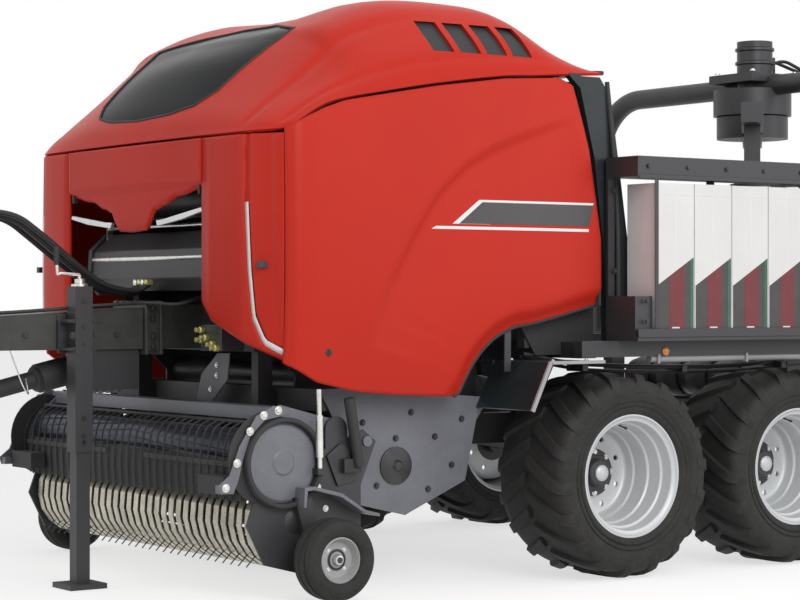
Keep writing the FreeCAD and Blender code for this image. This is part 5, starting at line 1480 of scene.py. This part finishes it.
class BALER_OT_wrapper(bpy.types.Operator):
    """Portal flanges, head motor, film dispensers, table belts and cylinders"""
    bl_idname = "baler.wrapper"
    bl_label = "Wrapper"

    def execute(self, context):
        fit("portal_flanges", "frame_black", twins=(
            (lathe, ((92, 0), (92, 16), (66, 22), (62, 60)), mm(ROTOR_X, 1390, 1130), Z_AXIS, 32),
            *[(lathe, ((68, -14), (72, -10), (72, 10), (68, 14)), mm(ROTOR_X, 1390, z),
               Z_AXIS, 32)
              for z in (1750, 2150)]))
        fit("portal_bolts", "bright_steel",
            twins=((bolts, Z_AXIS, 8, *bolt_ring(6, 76, ROTOR_X, 1390, 1146)),))
        fit("head_bolts", "bright_steel",
            (bolts, Z_AXIS, 10, *bolt_ring(12, 200, ROTOR_X, 0, 2566)),
            twins=((bolts, Z_AXIS, 12, (-2400, 150, 2700), (-2060, 150, 2700)),))
        motor = Vector((ax(-2220), 0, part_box("wrapping_head")[1].z - 0.30))
        fit("head_motor_rings", "dark_steel",
            *[(lathe, ((105, 0), (116, 6), (116, 20), (105, 26)), motor + Z_AXIS * lift, Z_AXIS,
               40) for lift in (0.06, 0.16, 0.24)],
            (block, (-2330, -2290), (-60, 60), (2700, 2800)))
        fit("head_hoses", "hose_rubber", *[
            (pipe, [mm(-2320, y, 2760), mm(-2420, y * 2, 2790), mm(-2430, 200 + y, 2700),
                    mm(-2285, 520 + y, 2640), mm(-2272, 900 + y, 2640),
                    mm(-2272, 1160 + y, 2590), mm(-2272, 1330 + y / 2, 2420),
                    mm(-2272, 1370 + y / 3, 2100), mm(-2272, 1370 + y / 3, 1400),
                    mm(-2260, 1340, 1180)], 10, 8) for y in (-22, 22)])
        films, bottom, height = dispenser_places()
        plates, cores, rubber, bands = [bmesh.new() for _ in range(4)]
        for film in films:
            dispenser(film, bottom, height, plates, cores, rubber)
            for z in (bottom + height - 0.03, bottom + 0.03):
                lathe(bands, ((BAND_RADIUS, 0), (BAND_RADIUS, 5)), Vector((film.x, film.y, z)),
                      Z_AXIS, 48)
        piece("dispenser_plates", plates, "frame_black", "wrap_rotor", bevel=2)
        piece("dispenser_cores", cores, "bright_steel", "wrap_rotor")
        piece("dispenser_rollers", rubber, "belt_rubber", "wrap_rotor")
        piece("film_bands", bands, "print_red", "wrap_rotor")
        belts = [(table_belt, BELT_STEP * (k - (BELTS - 1) / 2)) for k in range(BELTS)]
        fit("table_belts", "belt_rubber", *belts, body="wrap_table", sheet=-7)
        fit("table_cylinders", "frame_black", twins=(
            (bar, mm(-1500, 420, 860), mm(-1700, 420, 830), 32, 18),
            (bar, mm(-1700, 420, 830), mm(-1850, 420, 810), 16, 14)))
        fit("table_roller_nuts", "bright_steel", body="wrap_table", twins=(
            (bolts, Y_AXIS, 18, (-1850, 655, 900), (-2550, 655, 900)),))
        return {"FINISHED"}


class BALER_OT_rear(bpy.types.Operator):
    """Lamp boards, lenses, reflectors, blank plate, tailgate ribs and pillar fittings"""
    bl_idname = "baler.rear"
    bl_label = "Rear"

    def execute(self, context):
        fit("lamp_amber_lenses", "lamp_amber", bevel=1,
            twins=((block, (-3152, -3150), (1062, 1150), (655, 735)),))
        fit("rear_reflectors", "lamp_red", twins=[
            (lathe, ((24, 0), (24, 5), (18, 8)), mm(-3112, y, 712), -X_AXIS, 28)
            for y in (840, 760)])
        fit("side_reflectors", "lamp_amber", twins=[
            (lathe, ((22, 0), (22, 5), (17, 8)), mm(x, 1310, 1100), Y_AXIS, 28)
            for x in (-340, -1560)])
        fit("blank_number_plate", "decal_white",
            (block, (-3116, -3111), (-170, 170), (655, 765)), bevel=2)
        fit("lamp_bar_bolts", "bright_steel", twins=(
            (bolts, -X_AXIS, 7, *[(-3111, y, 700) for y in (300, 500, 1165)]),))
        ribs = []
        for z in range(1180, 2101, 230):
            x = -231 + max(z - 1700, 0) * 0.1
            ribs.append((bar, mm(x, -560, z), mm(x, 560, z), 16, 12))
        fit("tailgate_ribs", "slate", *ribs, body="tailgate")
        fit("pillar_edges", "guard_plastic", twins=(
            (bolts, Y_AXIS, 9, (-60, 1250, 1500), (-60, 1250, 1900)),
            (pipe, [mm(-60, 1190, 2440), mm(-90, 1205, 2100), mm(-110, 1215, 1700),
                    mm(-110, 1215, 1300)], 12, 8)))
        return {"FINISHED"}


# ------------------------------------------------------------------ paint of carried parts
class BALER_OT_finishes(bpy.types.Operator):
    """Makes the finishes and puts them on the carried parts"""
    bl_idname = "baler.finishes"
    bl_label = "Paint and rubber"

    def execute(self, context):
        make_finishes()
        given = {name: key for key, names in CARRIED.items() for name in names}
        for name, item in NODES.items():
            item.data.materials.clear()
            item.data.materials.append(bpy.data.materials[given.get(name, "frame_black")])
        return {"FINISHED"}


# ------------------------------------------------------------------ studio
WHITE = (1, 1, 1, 1)
LAMPS = (
    ("key", (2400, 9000, 5200), 5.0, 380), ("fill", (-5500, 7500, 4000), 6.0, 150),
    ("top", (400, 500, 7500), 6.0, 70), ("front", (8200, -1500, 3500), 4.0, 80),
)


class BALER_OT_stage(bpy.types.Operator):
    """Pale floor, soft studio light and the camera"""
    bl_idname = "baler.stage"
    bl_label = "Studio"

    def execute(self, context):
        scene = context.scene
        settings = scene.baler_stage
        scene.view_settings.view_transform = "Standard"
        make_world(scene, settings.light)
        make_floor()
        target = mm(300, 0, 1300)
        for name, place, size, power in LAMPS:
            lamp = bpy.data.lights.new(name, "AREA")
            lamp.energy = power
            lamp.size = size
            item = bpy.data.objects.new(name, lamp)
            item.location = mm(*place)
            item.rotation_euler = (target - mm(*place)).to_track_quat("-Z", "Y").to_euler()
            scene.collection.objects.link(item)
        camera = bpy.data.cameras.new("camera")
        camera.lens = settings.lens
        camera.sensor_width = 36
        item = bpy.data.objects.new("camera", camera)
        item.location = (ax(settings.forward * 1000), settings.aside, settings.height)
        item.rotation_euler = (math.radians(90), 0, settings.heading)
        scene.collection.objects.link(item)
        scene.camera = item
        return {"FINISHED"}


def seen_directly(tree):
    """1 for camera, mirror and see-through rays, so that all three meet the same backdrop."""
    paths = add(tree, "LightPath")
    last = paths.outputs["Is Camera Ray"]
    for name in ("Is Glossy Ray", "Is Transmission Ray"):
        both = add(tree, "Math")
        both.operation = "MAXIMUM"
        tree.links.new(last, both.inputs[0])
        tree.links.new(paths.outputs[name], both.inputs[1])
        last = both.outputs["Value"]
    return last


def make_world(scene, light):
    """White backdrop with a soft even light."""
    world = bpy.data.worlds.new("studio")
    scene.world = world
    world.use_nodes = True
    tree = world.node_tree
    tree.nodes.clear()
    soft = add(tree, "Background", Strength=light)
    soft.inputs["Color"].default_value = WHITE
    white = add(tree, "Background", Strength=1.0)
    white.inputs["Color"].default_value = WHITE
    mixer = add(tree, "MixShader")
    output = add(tree, "OutputWorld")
    tree.links.new(seen_directly(tree), mixer.inputs["Fac"])
    tree.links.new(soft.outputs["Background"], mixer.inputs[1])
    tree.links.new(white.outputs["Background"], mixer.inputs[2])
    tree.links.new(mixer.outputs["Shader"], output.inputs["Surface"])


def make_floor():
    """Pale floor that keeps the machine's shadow."""
    mesh = bpy.data.meshes.new("floor")
    shape = bmesh.new()
    bmesh.ops.create_grid(shape, x_segments=8, y_segments=8, size=60)
    shape.to_mesh(mesh)
    shape.free()
    floor = bpy.data.objects.new("floor", mesh)
    floor.location.z = -0.002
    bpy.context.scene.collection.objects.link(floor)
    material, tree = new_graph("floor_white")
    coords = add(tree, "TexCoord")
    grain = noise(tree, coords, 2.0)
    tint = ramp(tree, grain.outputs["Fac"], [(0.3, (0.72, 0.72, 0.72)), (0.7, (0.76, 0.76, 0.76))])
    matte = add(tree, "BsdfDiffuse")
    tree.links.new(tint.outputs["Color"], matte.inputs["Color"])
    seen = add(tree, "BsdfDiffuse")
    seen.inputs["Color"].default_value = (0.46, 0.46, 0.46, 1)
    glow = add(tree, "Emission", Strength=0.66)
    glow.inputs["Color"].default_value = WHITE
    joined = add(tree, "AddShader")
    mixer = add(tree, "MixShader")
    tree.links.new(seen.outputs["BSDF"], joined.inputs[0])
    tree.links.new(glow.outputs["Emission"], joined.inputs[1])
    output = add(tree, "OutputMaterial")
    tree.links.new(seen_directly(tree), mixer.inputs["Fac"])
    tree.links.new(matte.outputs["BSDF"], mixer.inputs[1])
    tree.links.new(joined.outputs["Shader"], mixer.inputs[2])
    tree.links.new(mixer.outputs["Shader"], output.inputs["Surface"])
    floor.data.materials.append(material)


class BALER_PT_panel(bpy.types.Panel):
    """Lists the baler's settings and steps"""
    bl_label = "Baler"
    bl_idname = "BALER_PT_panel"
    bl_space_type = "VIEW_3D"
    bl_region_type = "UI"
    bl_category = "Baler"

    def draw(self, context):
        scene = context.scene
        for group in (scene.baler_paint, scene.baler_sizes, scene.baler_stage):
            for key in group.__annotations__:
                self.layout.prop(group, key)
        for step in STEPS:
            self.layout.operator(step.bl_idname)


STEPS = (BALER_OT_stage, BALER_OT_finishes, BALER_OT_roof, BALER_OT_doors, BALER_OT_nose,
         BALER_OT_wheels, BALER_OT_gauge_wheels, BALER_OT_pickup, BALER_OT_intake,
         BALER_OT_drawbar, BALER_OT_chassis, BALER_OT_racks, BALER_OT_wrapper, BALER_OT_rear)
CLASSES = (BalerPaint, BalerSizes, BalerStage) + STEPS + (BALER_PT_panel,)


def register():
    for item in CLASSES:
        bpy.utils.register_class(item)
    bpy.types.Scene.baler_paint = PointerProperty(type=BalerPaint)
    bpy.types.Scene.baler_sizes = PointerProperty(type=BalerSizes)
    bpy.types.Scene.baler_stage = PointerProperty(type=BalerStage)


def unregister():
    del bpy.types.Scene.baler_paint
    del bpy.types.Scene.baler_sizes
    del bpy.types.Scene.baler_stage
    for item in reversed(CLASSES):
        bpy.utils.unregister_class(item)


def main():
    """Runs every step."""
    register()
    for step in STEPS:
        group, name = step.bl_idname.split(".")
        getattr(getattr(bpy.ops, group), name)()
    bpy.context.view_layer.update()


if __name__ == "__main__":
    main()
